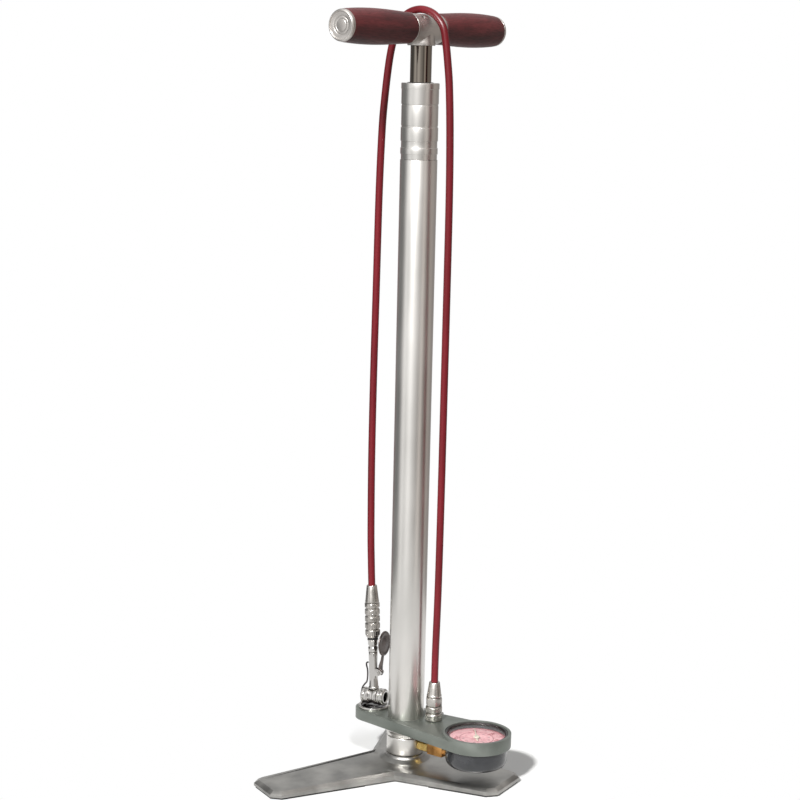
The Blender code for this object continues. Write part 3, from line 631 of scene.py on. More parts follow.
def legShape(name, spec):
    # a plane stretched to the leg's plan, its tip clipped, then raised with a sloping shoulder
    heading, reach, tipHalf, centreHalf = spec
    clip, floor = standShape["clip"], standShape["floor"]
    knee = reach - clip * 1.2
    kneeHalf = tipHalf + (centreHalf - tipHalf) / reach * clip * 1.2
    bpy.ops.object.select_all(action="DESELECT")
    bpy.ops.mesh.primitive_plane_add(size=1, location=(knee / 2 * mm, 0, floor * mm))
    bpy.context.object.scale = (knee * mm, centreHalf * 2 * mm, 1)
    only(bpy.context.object)
    settle()
    obj = startEdit(name)
    bpy.ops.mesh.select_mode(type="EDGE")
    bpy.ops.mesh.select_all(action="DESELECT")
    bpy.ops.object.mode_set(mode="OBJECT")
    for edge in obj.data.edges:
        edge.select = all(obj.data.vertices[v].co.x > 0.5 * knee * mm for v in edge.vertices)
    bpy.ops.object.mode_set(mode="EDIT")
    bpy.ops.transform.resize(value=(1, kneeHalf / centreHalf, 1), center_override=(0, 0, 0))
    pull(((reach - knee) * mm, 0, 0))
    bpy.ops.transform.resize(value=(1, (tipHalf - clip) / kneeHalf, 1), center_override=(0, 0, 0))
    bpy.ops.mesh.select_mode(type="FACE")
    bpy.ops.mesh.select_all(action="SELECT")
    bpy.ops.mesh.dissolve_faces()
    rise = standShape["topAtHub"] - floor - standShape["drop"]
    pull((0, 0, rise * mm))
    bpy.ops.mesh.inset(thickness=standShape["bevel"] * mm, use_even_offset=True)
    bpy.ops.transform.translate(value=(0, 0, standShape["drop"] * mm))
    leaveEdit()
    for vert in obj.data.vertices:                 # the top falls away outwards
        if vert.co.z > (floor + 1) * mm:
            vert.co.z -= standShape["slope"] * vert.co.x
    obj.matrix_world = spun(heading, "Z")
    only(obj)
    settle()
    return obj


def makeStand():
    boss = lathe("castStand", standShape["boss"], 120)
    for side, spec in standShape["legs"].items():
        combine(boss, legShape("leg" + side.title(), spec), "UNION")
    combine(boss, lathe("boltHole", standShape["boltHole"], 64), "DIFFERENCE")
    soften(boss, standShape["rounding"] * mm, 3, 14)
    finished(boss, standPlace, cast, "stand", ["base_casting"], 30)


makeStand()
print("cast stand made")

barrel = {
    "collar": [(15.4, 57.9), (15.4, 33.7), (17.9, 33.7), (18.3, 33.3), (18.3, 17.2), (17.6, 16.25),
               (4.4, 16.25), (4.4, 31.6), (4.0, 31.6)],
    "lockRing": [(17.56, 34.5), (18.6, 34.5), (18.6, 37.4), (20.6, 40.1), (20.6, 42.14), (17.56, 42.14)],
    "tube": [(15.5, 33.78), (17.5, 33.78), (17.5, 594.9), (16.4, 594.9), (16.4, 645.4), (15.5, 645.4)],
    "cap": [(16.75, 595.3), (16.95, 595.3), (16.95, 600), (17.5, 600.2), (17.5, 605.8), (16.95, 606),
            (16.95, 612), (17.5, 612.2), (17.5, 624.6), (16.95, 624.9), (16.95, 626.3), (17.25, 626.5),
            (17.25, 644.7), (16.95, 644.9), (16.95, 646), (17.5, 646.2), (17.5, 659.9), (17.8, 660.1),
            (17.8, 665), (17.3, 665.5), (12.9, 665.5), (12.9, 661.7), (16.2, 661.7), (16.2, 645.6),
            (16.75, 645.5)],
    "wiper": [(10.08, 661.8), (12.5, 661.8), (12.5, 665.6), (11.6, 666.1), (10.5, 665.7), (10.08, 665.0)],
}
turnedPiece("lowerCollar", barrel["collar"][::-1], standPlace, alloy, ["lower_collar"],
            edge=0.25)
turnedPiece("yokeLockRing", barrel["lockRing"], standPlace, alloy, ["yoke_lock_ring"],
            bored=True)
turnedPiece("barrelTube", barrel["tube"], standPlace, alloy, ["barrel_tube"],
            bored=True, steps=128, edge=0.2)
turnedPiece("topCap", barrel["cap"], standPlace, alloy, ["top_cap"], bored=True,
            steps=128, edge=0.12)
turnedPiece("rodWiper", barrel["wiper"], standPlace, rubber, ["rod_wiper"], bored=True,
            edge=0.15)
print("barrel and caps made")

yoke = {"low": 42.2, "top": 52.2, "gaugeOut": 84.2, "gaugeRadius": 33.2, "dockOut": 39.7,
        "dockRadius": 18.0, "rim": [(27.2, 51.2), (33.18, 51.2), (33.18, 54.7), (27.2, 54.7)],
        "bores": [(0.0, -84.2, 30.2), (0.0, 0.0, 17.55), (0.0, 39.7, 14.3), (7.0, -28.5, 5.4)],
        "edge": 1.1}


def makeYoke():
    # two discs wrapped in one hull, a rim round the gauge, then the four bores
    bpy.ops.object.select_all(action="DESELECT")
    bpy.ops.mesh.primitive_circle_add(vertices=144, radius=yoke["gaugeRadius"] * mm,
                                      location=(0, -yoke["gaugeOut"] * mm, yoke["low"] * mm))
    only(bpy.context.object)
    bpy.ops.object.transform_apply(location=True, rotation=False, scale=False)
    obj = startEdit("yokePlate")
    bpy.ops.mesh.primitive_circle_add(vertices=120, radius=yoke["dockRadius"] * mm,
                                      location=(0, yoke["dockOut"] * mm, yoke["low"] * mm))
    bpy.ops.mesh.select_all(action="SELECT")
    pull((0, 0, (yoke["top"] - yoke["low"]) * mm))
    bpy.ops.mesh.select_all(action="SELECT")
    bpy.ops.mesh.convex_hull()
    bpy.ops.mesh.select_all(action="SELECT")
    bpy.ops.mesh.dissolve_limited(angle_limit=math.radians(0.5))
    leaveEdit()
    rim = lathe("gaugeRim", yoke["rim"], 144, True)
    rim.location.y = -yoke["gaugeOut"] * mm
    combine(obj, rim, "UNION")
    for x, y, radius in yoke["bores"]:
        bore = lathe("bore", [(radius, 20), (radius, 80)], 128)
        bore.location = (x * mm, y * mm, 0)
        combine(obj, bore, "DIFFERENCE")
    only(obj)
    weld("yokePlate", 10 * hairGap)
    soften(obj, yoke["edge"] * mm, 3, 40)
    finished(obj, standPlace, yokeGrey, "stand", ["yoke_plate"], 30)


makeYoke()
turnedPiece("dockCup", [(13.2, 40.2), (14.0, 41.0), (14.0, 52.25), (15.2, 52.25), (15.2, 54.6),
                        (14.8, 55.0), (12.7, 55.0), (12.6, 49.7), (6.0, 49.7), (0.4, 49.7)],
            dockPlace, chrome, ["dock_cup"], edge=0.2)
turnedPiece("dockMagnet", [(12.0, 50.0), (12.3, 50.4), (12.3, 53.8), (11.9, 54.2), (7.2, 54.2),
                           (6.9, 53.7), (6.3, 53.7), (6.0, 54.2), (0.5, 54.2)],
            dockPlace, smoked, ["dock_magnet"], edge=0.12)
print("yoke and dock made")

gauge = {
    "case": [(4, 22.7), (20, 22.5), (23.0, 22.55), (25.2, 22.9), (26.8, 23.7), (28.2, 25.0), (29.2, 26.8),
             (29.65, 28.7), (29.8, 30.5), (29.8, 50.4), (29.6, 50.6), (28.3, 50.6), (28.3, 31.0),
             (25.0, 25.2), (3, 25.2)],
    "dial": [(1.6, 47.5), (28.25, 47.5), (28.25, 48.5), (1.6, 48.5)],
    "glass": [(29.4, 50.9), (29.6, 51.1), (29.6, 51.8), (29.0, 52.1), (0.5, 52.1)],
    "bezel": [(27.4, 52.4), (29.9, 52.4), (29.9, 53.9), (29.6, 54.2), (28.7, 54.2), (28.3, 53.8),
              (27.5, 52.9)],
    "full": 200, "zeroHeading": 39.0, "sweep": 270.0, "tickRadius": 26.0, "numberRadius": 19.6,
    "numberSize": 6.4, "barRadius": 12.4, "barSize": 3.4, "printAt": 48.5, "printDepth": 0.06,
}


def makeNumber(text, size, radius, heading, ink, name):
    bpy.ops.object.select_all(action="DESELECT")
    bpy.ops.object.text_add()
    obj = bpy.context.object
    obj.name = name
    obj.data.body = text
    obj.data.size = size * mm
    obj.data.align_x, obj.data.align_y = "CENTER", "CENTER"
    obj.data.extrude = gauge["printDepth"] / 2 * mm
    only(obj)
    bpy.ops.object.convert(target="MESH")
    weld(name, hairGap)
    turn = math.radians(heading)
    high = gauge["printAt"] + gauge["printDepth"] / 2
    obj.matrix_world = (shift(radius * math.cos(turn) * mm, radius * math.sin(turn) * mm, high * mm)
                        @ spun(180, "Z"))
    settle()
    return obj


def joinPieces(name, pieces):
    bpy.ops.object.select_all(action="DESELECT")
    for piece in pieces:
        piece.select_set(True)
    bpy.context.view_layer.objects.active = pieces[0]
    bpy.ops.object.join()
    pieces[0].name = name
    pieces[0].data.name = name
    return pieces[0]


def copyOf(obj, place):
    other = obj.copy()
    other.data = obj.data.copy()
    bpy.context.collection.objects.link(other)
    other.matrix_world = place @ obj.matrix_world
    return other


def makeScale():
    low, high = gauge["printAt"], gauge["printAt"] + gauge["printDepth"]
    marks, numbers = [], []
    long = block("scaleTick", (gauge["tickRadius"] - 3.4, -0.36, low), (gauge["tickRadius"], 0.36, high))
    short = block("scaleTick", (gauge["tickRadius"] - 1.7, -0.22, low), (gauge["tickRadius"], 0.22, high))
    for step in range(51):
        heading = gauge["zeroHeading"] - gauge["sweep"] * step / 50
        marks.append(copyOf(long if step % 5 == 0 else short, spun(heading, "Z")))
    bpy.data.objects.remove(long)
    bpy.data.objects.remove(short)
    for outer, inner in ((27.9, 26.6), (16.4, 15.9)):
        marks.append(lathe("scaleRing", [(inner, low), (outer, low), (outer, high), (inner, high)], 120,
                           True))
    for value in range(0, gauge["full"] + 1, 40):
        heading = gauge["zeroHeading"] - gauge["sweep"] * value / gauge["full"]
        numbers.append(makeNumber(str(value), gauge["numberSize"], gauge["numberRadius"], heading,
                                  inkRed, "psiNumber"))
    finished(joinPieces("scalePrint", marks + numbers), gaugePlace, inkRed, "stand")
    inner = [makeNumber(str(v), gauge["barSize"], gauge["barRadius"],
                        gauge["zeroHeading"] - gauge["sweep"] * v / 14, inkDark, "barNumber")
             for v in range(0, 15, 2)]
    finished(joinPieces("barPrint", inner), gaugePlace, inkDark, "stand")


turnedPiece("gaugeCase", gauge["case"], gaugePlace, gloss, ["gauge_case"], steps=128,
            edge=0.12)
turnedPiece("gaugeDial", gauge["dial"], gaugePlace, dialPink, ["gauge_dial"], bored=True,
            edge=0.1)
turnedPiece("gaugeGlass", gauge["glass"], gaugePlace, glass, ["gauge_glass"], edge=0.1)
turnedPiece("gaugeBezel", gauge["bezel"], gaugePlace, smoked, ["gauge_bezel"], bored=True,
            steps=128, edge=0.1)
makeScale()


def makeNeedle():
    blade = block("gaugeNeedle", (-9, -0.85, 49.3), (24, 0.85, 49.95))
    pickFaces(blade, lambda c, n: n.x > 0.9)
    bpy.ops.transform.resize(value=(1, 0.3, 1), center_override=(0.024, 0, 0.0496))
    bpy.ops.object.mode_set(mode="OBJECT")
    pickFaces(blade, lambda c, n: n.x < -0.9)
    pull((-0.0001, 0, 0))
    bpy.ops.object.mode_set(mode="OBJECT")
    combine(blade, lathe("needleBoss", [(3.0, 49.3), (3.0, 50.2), (2.6, 50.5), (1.4, 50.5), (1.2, 50.4),
                                        (0.2, 50.4)], 48), "UNION")
    soften(blade, 0.08 * mm, 1, 40)
    finished(blade, gaugePlace @ spun(gauge["zeroHeading"], "Z"), inkCream, "needle",
             ["gauge_needle"])


makeNeedle()
toGauge = standPlace @ shift(0, 0, 27 * mm) @ spun(90, "X")
finished(hexNut("gaugeNut", 11.4, 18.36, 30.0), toGauge, brassLight, "stand",
         ["gauge_nut"])
feed = hexNut("gaugeBlock", 11.0, 30.3, 48.0, 45, 0.5, 4)
combine(feed, lathe("feedStub", [(5.0, 47.0), (5.0, 54.0)], 64), "UNION")
soften(feed, 0.35 * mm, 2, 40)
finished(feed, toGauge, brassDark, "stand", ["gauge_block"])
print("gauge made")

hoseEnd = {
    "fitting": [(5.0, 44.0), (5.0, 52.25), (7.6, 52.25), (8.0, 52.7), (8.3, 53.6), (8.3, 58.2), (7.9, 58.9),
                (7.2, 59.3), (7.2, 60.4), (7.9, 60.9), (8.1, 61.5), (8.1, 65.5), (7.8, 66.2), (7.2, 66.7)],
    "ferrule": [(5.6, 76.0), (6.9, 76.0), (7.3, 76.4), (7.3, 77.9), (7.0, 78.4), (6.9, 79.0), (5.25, 90.4),
                (4.9, 90.95), (3.9, 90.98)],
    "knurls": 36, "knurlDepth": 0.28,
}


def knurl(obj, low, high, cuts, depth):
    # every other side face of a band is drawn in, which leaves ribs round the ring
    steps = cuts * 2
    pickFaces(obj, lambda c, n: abs(n.z) < 0.2 and low < c.z < high
              and int((math.atan2(c.y, c.x) % math.tau) / math.tau * steps) % 2 == 0)
    bpy.ops.mesh.inset(thickness=0.08 * mm, use_individual=True, use_even_offset=True)
    bpy.ops.transform.shrink_fatten(value=-depth * mm)
    bpy.ops.object.mode_set(mode="OBJECT")


def knurlFitting(obj):
    knurl(obj, 53.7, 58.1, hoseEnd["knurls"], hoseEnd["knurlDepth"])
    knurl(obj, 61.6, 65.4, hoseEnd["knurls"], hoseEnd["knurlDepth"])


turnedPiece("hoseFitting", hoseEnd["fitting"], fittingPlace, steel, ["hose_fitting"],
            steps=72, edge=0.1, extra=knurlFitting)
nut = hexNut("hoseHexNut", 14.2, 67.0, 75.7, 15)
soften(nut, 0.2 * mm, 2, 30)
finished(nut, fittingPlace, steel, "stand", ["hose_hex_nut"])
hoseFerrule = turnedPiece("hoseFerrule", hoseEnd["ferrule"], fittingPlace, steel,
                          ["hose_ferrule"], steps=72, edge=0.12)
print("hose fitting made")

chuckPlace = (shift(axisX, dockAt.y, chuck["headZ"]) @ spun(-chuck["lean"], "X")
              @ spun(chuck["heading"], "Z"))
headPlace = chuckPlace @ spun(90, "Y")
flatPlace = spun(90, "X")
chuck.update({
    "head": [(3.0, -11.6), (5.6, -12.0), (6.8, -12.0), (7.6, -11.5), (7.9, -10.9), (7.9, -8.9), (7.5, -8.6),
             (7.5, -8.0), (7.9, -7.7), (7.9, -4.0), (7.0, -3.1), (7.0, 0.8), (7.9, 1.7), (7.9, 4.9),
             (7.5, 5.3), (3.0, 5.3)],
    "nose": [(4.5, 5.6), (7.6, 5.6), (8.3, 6.3), (8.3, 7.6), (7.8, 8.0), (7.8, 8.5), (8.3, 8.9), (8.3, 11.6),
             (7.4, 12.8), (6.9, 13.0), (5.2, 13.0), (4.6, 12.4)],
    "gasket": [(2.6, 5.65), (4.2, 5.65), (4.2, 8.0), (3.2, 8.0), (2.6, 7.4)],
    "stem": [(5.2, 8.2), (5.2, 9.4), (4.9, 9.9), (4.5, 10.6), (4.3, 20), (4.3, 36), (4.5, 38.5), (4.5, 45.1),
             (4.2, 45.5)],
    "swivel": [(4.6, 45.8), (4.9, 46.1), (4.9, 49.8), (4.3, 50.7), (4.3, 52.3), (4.9, 53.0), (4.9, 55.8),
               (5.2, 57.0), (5.6, 58.0), (5.5, 58.5)],
    "ring": [(5.0, 58.8), (5.35, 59.1), (5.35, 59.9), (5.0, 60.2)],
    "ferrule": [(6.4, 95.6), (6.8, 96.0), (6.8, 97.5), (6.6, 98.2), (5.1, 112.4), (4.8, 113.0),
                (3.8, 113.03)],
    "bands": (63.0, 70.0, 77.0, 84.0), "bandKnurls": 22,
    "hook": [(-5.6, 0, 34.0), (-7.4, 0, 33.0), (-7.6, 0, 30.5), (-6.6, 0, 26.0), (-6.6, 0, 20.0),
             (-7.6, 0, 14.0), (-10.5, 0, 10.5), (-13.0, 0, 6.5), (-14.0, 0, 0.0), (-13.2, 0, -5.5)],
})


def sweep(name, path, radius, sides):
    # a round bar drawn along the path by extruding one ring of it after another
    bpy.ops.object.select_all(action="DESELECT")
    along = (path[1] - path[0]).normalized()
    bpy.ops.mesh.primitive_circle_add(vertices=sides, radius=radius, fill_type="NGON", location=path[0],
                                      rotation=along.to_track_quat("Z", "Y").to_euler())
    only(bpy.context.object)
    settle()
    obj = startEdit(name)
    for i in range(1, len(path)):
        pull(path[i] - path[i - 1])
        bpy.ops.object.mode_set(mode="OBJECT")
        ahead = (path[min(i + 1, len(path) - 1)] - path[i - 1]).normalized()
        ring = [v for v in obj.data.vertices if v.select]
        turn = along.rotation_difference(ahead)
        for vert in ring:                         # the new ring is turned square to the path
            vert.co = path[i] + turn @ (vert.co - path[i])
        along = ahead
        bpy.ops.object.mode_set(mode="EDIT")
    leaveEdit()
    return obj


def makeBands(obj):
    for low in chuck["bands"]:
        knurl(obj, low + 0.3, low + 4.2, chuck["bandKnurls"], 0.2)


def couplingProfile():
    outline = [(6.0, 60.5), (6.4, 60.9)]
    for low in chuck["bands"]:
        outline += [(6.9, low - 0.4), (7.4, low), (7.4, low + 4.3), (7.0, low + 4.8), (6.5, low + 5.2),
                    (6.5, low + 6.2)]
    return outline + [(7.0, 90.7), (7.4, 91.1), (7.4, 94.9), (7.0, 95.3)]


def makeStem():
    stem = lathe("chuckStem", chuck["stem"], 72)
    out, up = chuck["pivotOut"] / mm, chuck["pivotUp"] / mm
    for low in (1.7, -3.1):
        ear = block("stemEar", (2.0, low, up - 4), (out, low + 1.4, up + 4))
        pickFaces(ear, lambda c, n: n.x > 0.9)
        bpy.ops.transform.resize(value=(1, 1, 0.75), center_override=(out * mm, 0, up * mm))
        pull((1.6 * mm, 0, 0))
        bpy.ops.transform.resize(value=(1, 1, 0.7), center_override=(out * mm, 0, up * mm))
        pull((1.2 * mm, 0, 0))
        bpy.ops.transform.resize(value=(1, 1, 0.35), center_override=(out * mm, 0, up * mm))
        bpy.ops.object.mode_set(mode="OBJECT")
        combine(stem, ear, "UNION")
    hole = lathe("earHole", [(1.5, -6), (1.5, 6)], 32)
    hole.matrix_world = shift(out * mm, 0, up * mm) @ flatPlace
    combine(stem, hole, "DIFFERENCE")
    soften(stem, 0.2 * mm, 2, 35)
    return finished(stem, chuckPlace, chrome, "stand", ["chuck_stem"])


def makeHook():
    route = smoothProfile([Vector(p) for p in chuck["hook"]], 5)
    hook = sweep("chuckHook", [Vector(p) * mm for p in route], 0.8 * mm, 14)
    return finished(hook, chuckPlace, smoked, "stand", ["chuck_hook"], 60)


chuckPieces = [
    turnedPiece("chuckHead", chuck["head"], headPlace, chrome, ["chuck_head"], edge=0.15),
    turnedPiece("chuckNose", chuck["nose"], headPlace, chrome, ["chuck_nose"], bored=True,
                edge=0.12),
    turnedPiece("chuckGasket", chuck["gasket"], headPlace, rubber, ["chuck_gasket"],
                bored=True, edge=0.1),
    makeStem(),
    turnedPiece("chuckSwivel", chuck["swivel"], chuckPlace, chrome, ["chuck_swivel"], steps=72,
                edge=0.12),
    turnedPiece("chuckRing", chuck["ring"], chuckPlace, rubber, ["chuck_ring"], edge=0.1),
    turnedPiece("chuckCoupling", couplingProfile(), chuckPlace, steel,
                ["chuck_coupling"], steps=44, edge=0.1, extra=makeBands),
    turnedPiece("chuckFerrule", chuck["ferrule"], chuckPlace, steel, ["chuck_ferrule"],
                steps=72, edge=0.12),
    makeHook(),
]
print("chuck made")

lever = {"disc": [(10.9, -1.05), (11.6, -1.0), (12.2, -0.6), (12.35, -0.1), (12.1, 0.5), (11.3, 0.85),
                  (10.2, 0.9), (9.8, 0.75), (7.0, 0.9), (3.0, 1.3), (0.6, 1.45)],
         "half": 1.3}


def makeLever():
    # a flat arm drawn up from the pin in steps, with the round thumb disc on its end
    half = lever["half"]
    arm = block("chuckLever", (-1.2, -half, -2.4), (2.4, half, 2.4))
    steps = [((0.2, 0, 4.5), (1, 1, 1)), ((1.6, 0, 5.6), (0.62, 1, 1)), ((1.9, 0, 10.0), (0.62, 1, 1)),
             ((0.5, 0, 18.0), (0.8, 1, 1))]
    pickFaces(arm, lambda c, n: n.z > 0.9)
    for move, scale in steps:
        pull([v * mm for v in move])
        bpy.ops.transform.resize(value=scale)
    bpy.ops.object.mode_set(mode="OBJECT")
    disc = lathe("thumbDisc", lever["disc"], 96)
    disc.matrix_world = shift(5.4 * mm, 0, 30 * mm) @ spun(90, "Y")
    combine(arm, disc, "UNION")
    hole = lathe("leverHole", [(1.5, -6), (1.5, 6)], 32)
    hole.matrix_world = flatPlace
    combine(arm, hole, "DIFFERENCE")
    soften(arm, 0.25 * mm, 2, 35)
    place = chuckPlace @ shift(chuck["pivotOut"], 0, chuck["pivotUp"])
    return finished(arm, place, leverDark, "lever", ["chuck_lever"])


chuckPieces.append(makeLever())
print("lever made")

handle = {
    "rod": [(8.4, 96.0), (10.0, 96.0), (10.0, 703.2), (9.6, 703.7), (8.4, 703.7)],
    "neck": [(12.6, 699.5), (13.0, 699.8), (13.1, 701.3), (12.7, 703.0), (12.3, 705.0), (12.2, 715.0)],
    "sleeve": [(13.0, -23.0), (13.8, -22.2), (13.8, -20.4), (13.5, -19.5), (13.2, -18.2), (13.2, 18.2),
               (13.5, 19.5), (13.8, 20.4), (13.8, 22.2), (13.0, 23.0)],
    "screwOut": -9.0, "screwTurn": 38,
    "swell": [(13.9, 23.3), (14.3, 24.5), (14.7, 34.0), (15.3, 46.0), (15.9, 60.0), (16.2, 75.0),
              (16.05, 90.0), (15.6, 102.0), (15.1, 110.0), (14.7, 115.0), (14.3, 116.8), (13.9, 117.0)],
    "cap": [(5.1, 117.05), (14.0, 117.05), (14.3, 117.3), (14.3, 118.8), (14.0, 119.6), (13.4, 120.5),
            (12.9, 120.95), (12.3, 121.0), (12.1, 120.8), (11.9, 119.9), (10.9, 119.9), (8.3, 119.9),
            (8.2, 119.7), (7.9, 119.7), (7.8, 119.9), (5.7, 119.9), (5.6, 119.75), (5.4, 119.75),
            (5.3, 119.9), (0.6, 119.9)],
}
handleAt = shift(axisX, axisY, handleZ)


def makeHub():
    neck = lathe("handleHub", handle["neck"], 96)
    sleeve = lathe("sleeve", handle["sleeve"], 96)
    sleeve.matrix_world = shift(0, 0, 715 * mm) @ spun(90, "Y")
    combine(neck, sleeve, "UNION")
    combine(neck, lathe("rodSocket", [(10.05, 690), (10.05, 703.75)], 96), "DIFFERENCE")
    bore = lathe("barBore", [(5.05, -60), (5.05, 60)], 64)
    bore.matrix_world = shift(0, 0, 715 * mm) @ spun(90, "Y")
    combine(neck, bore, "DIFFERENCE")
    hole = lathe("screwHole", [(2.3, 0), (2.3, 30)], 48)
    hole.matrix_world = shift(handle["screwOut"] * mm, 0, 715 * mm) @ spun(handle["screwTurn"], "X")
    combine(neck, hole, "DIFFERENCE")
    soften(neck, 0.5 * mm, 3, 28)
    finished(neck, standPlace, hubMetal, "handle", ["handle_hub"])


makeHub()
turnedPiece("pistonRod", handle["rod"], standPlace, rodChrome, ["piston_rod"], body="piston",
            bored=True, steps=128, edge=0.1)
turnedPiece("hubSetScrew", [(1.7, 5.06), (2.0, 5.4), (2.0, 12.1), (1.8, 12.4), (1.1, 12.4), (1.1, 10.4),
                            (0.3, 10.4)],
            handleAt @ shift(handle["screwOut"] * mm, 0) @ spun(handle["screwTurn"], "X"), smoked,
            ["hub_set_screw"], body="handle", steps=48, edge=0.08)
for side, turn in (("Right", 90), ("Left", -90)):
    place = handleAt @ spun(turn, "Y")
    outline = [(5.05, 23.25)] + smoothProfile(handle["swell"], 5) + [(5.05, 117.0)]
    turnedPiece("grip" + side, outline, place, wood, ["grip_" + side.lower()], "handle",
                bored=True, steps=128, edge=0)
    turnedPiece("endCap" + side, handle["cap"], place, hubMetal,
                ["end_cap_" + side.lower()], "handle", edge=0.12)
print("handle made")


def makeSpring():
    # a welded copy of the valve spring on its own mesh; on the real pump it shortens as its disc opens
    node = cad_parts["valve_spring"]
    spring = bpy.data.objects.new("valveSpring", node.data.copy())
    bpy.context.collection.objects.link(spring)
    only(spring)
    weld("valveSpring", hairGap)
    finished(spring, node.matrix_world, steel, "stand", ["valve_spring"])
    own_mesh(spring)


makeSpring()

inside = {
    rubber: ["foot_pad_gauge_side", "foot_pad_left", "foot_pad_right", "plug_seal", "valve_disc"],
    steel: ["base_bolt", "needle_shaft", "lever_pin", "piston_bolt", "handle_bar"],
    brassLight: ["valve_seat", "gauge_movement", "bourdon_tube"],
    nylon: ["rod_bearing"], leather: ["piston_cup"], alloy: ["piston_body"],
}
for look, names in inside.items():
    for name in names:
        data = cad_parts[name].data
        data.materials.clear()
        data.materials.append(look)

studio = {
    "floorRadius": 0.46, "floorColor": (0.88, 0.88, 0.87),
    # the floor keeps its cast shadows within shadeFull of shadeAt and turns into a painted white glow by
    # shadeEnd
    "shadeFull": 0.115, "shadeEnd": 0.165, "shadeAt": (0.040, -0.018),   # right of and behind the barrel
    "key": {"heading": 23, "rise": 36, "strength": 4.5, "softness": 4.0},
    "front": {"heading": -8, "rise": 43, "strength": 1.25, "softness": 5.0},
    "ambient": 0.09,
    # what the metal mirrors: degrees right of the camera's side, brightness, warmth
    "sky": [(-180, 0.66, 0), (-152, 0.40, 0), (-140, 0.29, 0), (-106, 0.45, 0), (-82, 0.62, 0),
            (-65, 0.92, 0), (-47, 1.20, 0), (-30, 1.30, 0), (-14, 1.02, 0), (2, 0.76, 0.1), (30, 0.60, 0.5),
            (50, 0.50, 0.8), (63, 0.36, 1), (75, 0.20, 1), (88, 0.26, 1), (114, 0.33, 0.8),
            (140, 0.30, 0.6), (155, 0.40, 0.3), (180, 0.66, 0)],
    "stripes": [(-180, 1.2), (-128, 0.7), (-106, 0.4), (-92, 0.3), (-74, 1.0), (-63, 1.4), (-50, 0.6),
                (-35, 0.7), (-23, 1.1), (-11, 1.1), (0, 0.9), (12, 0.9), (23, 0.6), (28, 0.4), (38, 1.1),
                (46, 2.2), (56, 0.7), (62, 0.3), (74, 1.1), (86, 1.9), (100, 1.6), (128, 1.0), (180, 1.2)],
    "overhead": 0.55,
}


def makeFloor():
    bpy.ops.object.select_all(action="DESELECT")
    bpy.ops.mesh.primitive_circle_add(vertices=96, radius=studio["floorRadius"], fill_type="NGON")
    floor = bpy.context.object
    floor.name = "studioFloor"
    paper = newMaterial("paleFloorPaintedGlow", studio["floorColor"], 0.8)
    shader = paper.node_tree.nodes["Principled BSDF"]
    shader.inputs["Specular IOR Level"].default_value = 0.1
    where = addNode(paper, "ShaderNodeTexCoord")
    side, back = studio["shadeAt"]
    spot = barrelAt + spun(camera["heading"], "Z") @ Vector((side, back, 0))
    centred = addNode(paper, "ShaderNodeVectorMath", operation="DISTANCE")
    centred.inputs[1].default_value = spot
    wire(paper, where, "Object", centred, 0)
    glowShare = addNode(paper, "ShaderNodeMapRange", interpolation_type="SMOOTHSTEP")
    glowShare.inputs["From Min"].default_value = studio["shadeFull"]
    glowShare.inputs["From Max"].default_value = studio["shadeEnd"]
    wire(paper, centred, "Value", glowShare, "Value")
    # painted glow: past shadeFull the floor turns into white emission, which hides the cast shadows farther
    # out
    paintedGlow = addNode(paper, "ShaderNodeEmission", Strength=1.0)
    mix = addNode(paper, "ShaderNodeMixShader")
    wire(paper, glowShare, "Result", mix, 0)
    wire(paper, shader, "BSDF", mix, 1)
    wire(paper, paintedGlow, "Emission", mix, 2)
    wire(paper, mix, "Shader", paper.node_tree.nodes["Material Output"], "Surface")
    floor.data.materials.append(paper)


def makeSun(name, spec):
    bpy.ops.object.light_add(type="SUN")
    sun = bpy.context.object
    sun.name = name
    sun.data.energy = spec["strength"]
    sun.data.angle = math.radians(spec["softness"])
    sun.matrix_world = (spun(camera["heading"] - spec["heading"], "Z") @ spun(90 - spec["rise"], "X"))


def skyRamp(tree, source, stops):
    band = tree.nodes.new("ShaderNodeValToRGB")
    elements = band.color_ramp.elements
    while len(elements) < len(stops):
        elements.new(0.5)
    for element, (heading, color) in zip(elements, stops):
        element.position = (heading + 180) / 360
        element.color = (*color, 1)
    tree.links.new(source, band.inputs["Fac"])
    return band.outputs["Color"]


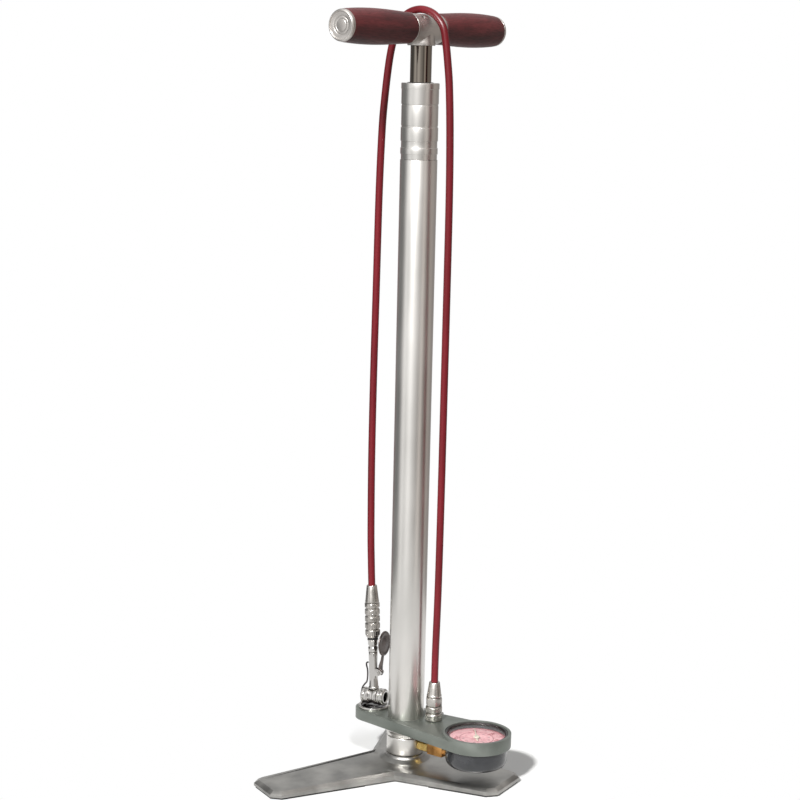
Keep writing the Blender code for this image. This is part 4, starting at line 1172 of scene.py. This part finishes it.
def makeSky():
    world = bpy.data.worlds.new("studioSky")
    bpy.context.scene.world = world
    world.use_nodes = True
    tree = world.node_tree
    tree.nodes.clear()
    make, link = tree.nodes.new, tree.links.new
    where, turn, gradient = (make("ShaderNodeTexCoord"), make("ShaderNodeMapping"),
                             make("ShaderNodeTexGradient"))
    turn.inputs["Rotation"].default_value = (0, 0, math.radians(90 - camera["heading"]))
    gradient.gradient_type = "RADIAL"
    link(where.outputs["Generated"], turn.inputs["Vector"])
    link(turn.outputs["Vector"], gradient.inputs["Vector"])
    around = skyRamp(tree, gradient.outputs["Fac"],
                     [(h, (v, v * (1 - 0.10 * w), v * (1 - 0.17 * w))) for h, v, w in studio["sky"]])
    bars = skyRamp(tree, gradient.outputs["Fac"], [(h, (v / 2.5,) * 3) for h, v in studio["stripes"]])
    both = make("ShaderNodeVectorMath")
    both.operation = "MULTIPLY"
    link(around, both.inputs[0])
    link(bars, both.inputs[1])
    axes, above = make("ShaderNodeSeparateXYZ"), make("ShaderNodeMapRange")
    link(where.outputs["Generated"], axes.inputs["Vector"])
    link(axes.outputs["Z"], above.inputs["Value"])
    above.inputs["From Min"].default_value = 0.45
    above.inputs["From Max"].default_value = 0.90
    above.inputs["To Max"].default_value = studio["overhead"] / 2.5
    total = make("ShaderNodeVectorMath")
    total.operation = "ADD"
    link(both.outputs["Vector"], total.inputs[0])
    link(above.outputs["Result"], total.inputs[1])
    mirrored, plain, white = (make("ShaderNodeBackground") for _ in range(3))
    link(total.outputs["Vector"], mirrored.inputs["Color"])
    mirrored.inputs["Strength"].default_value = 2.5
    plain.inputs["Color"].default_value = (1, 0.99, 0.97, 1)
    plain.inputs["Strength"].default_value = studio["ambient"]
    white.inputs["Color"].default_value = (1, 1, 1, 1)
    path = make("ShaderNodeLightPath")
    first, second = (make("ShaderNodeMixShader") for _ in range(2))
    link(path.outputs["Is Glossy Ray"], first.inputs["Fac"])
    link(plain.outputs["Background"], first.inputs[1])
    link(mirrored.outputs["Background"], first.inputs[2])
    link(path.outputs["Is Camera Ray"], second.inputs["Fac"])
    link(first.outputs["Shader"], second.inputs[1])
    link(white.outputs["Background"], second.inputs[2])
    link(second.outputs["Shader"], make("ShaderNodeOutputWorld").inputs["Surface"])


makeFloor()
makeSun("keyLight", studio["key"])
makeSun("frontLight", studio["front"])
makeSky()
bpy.context.scene.view_settings.view_transform = "Standard"
print("studio lit")
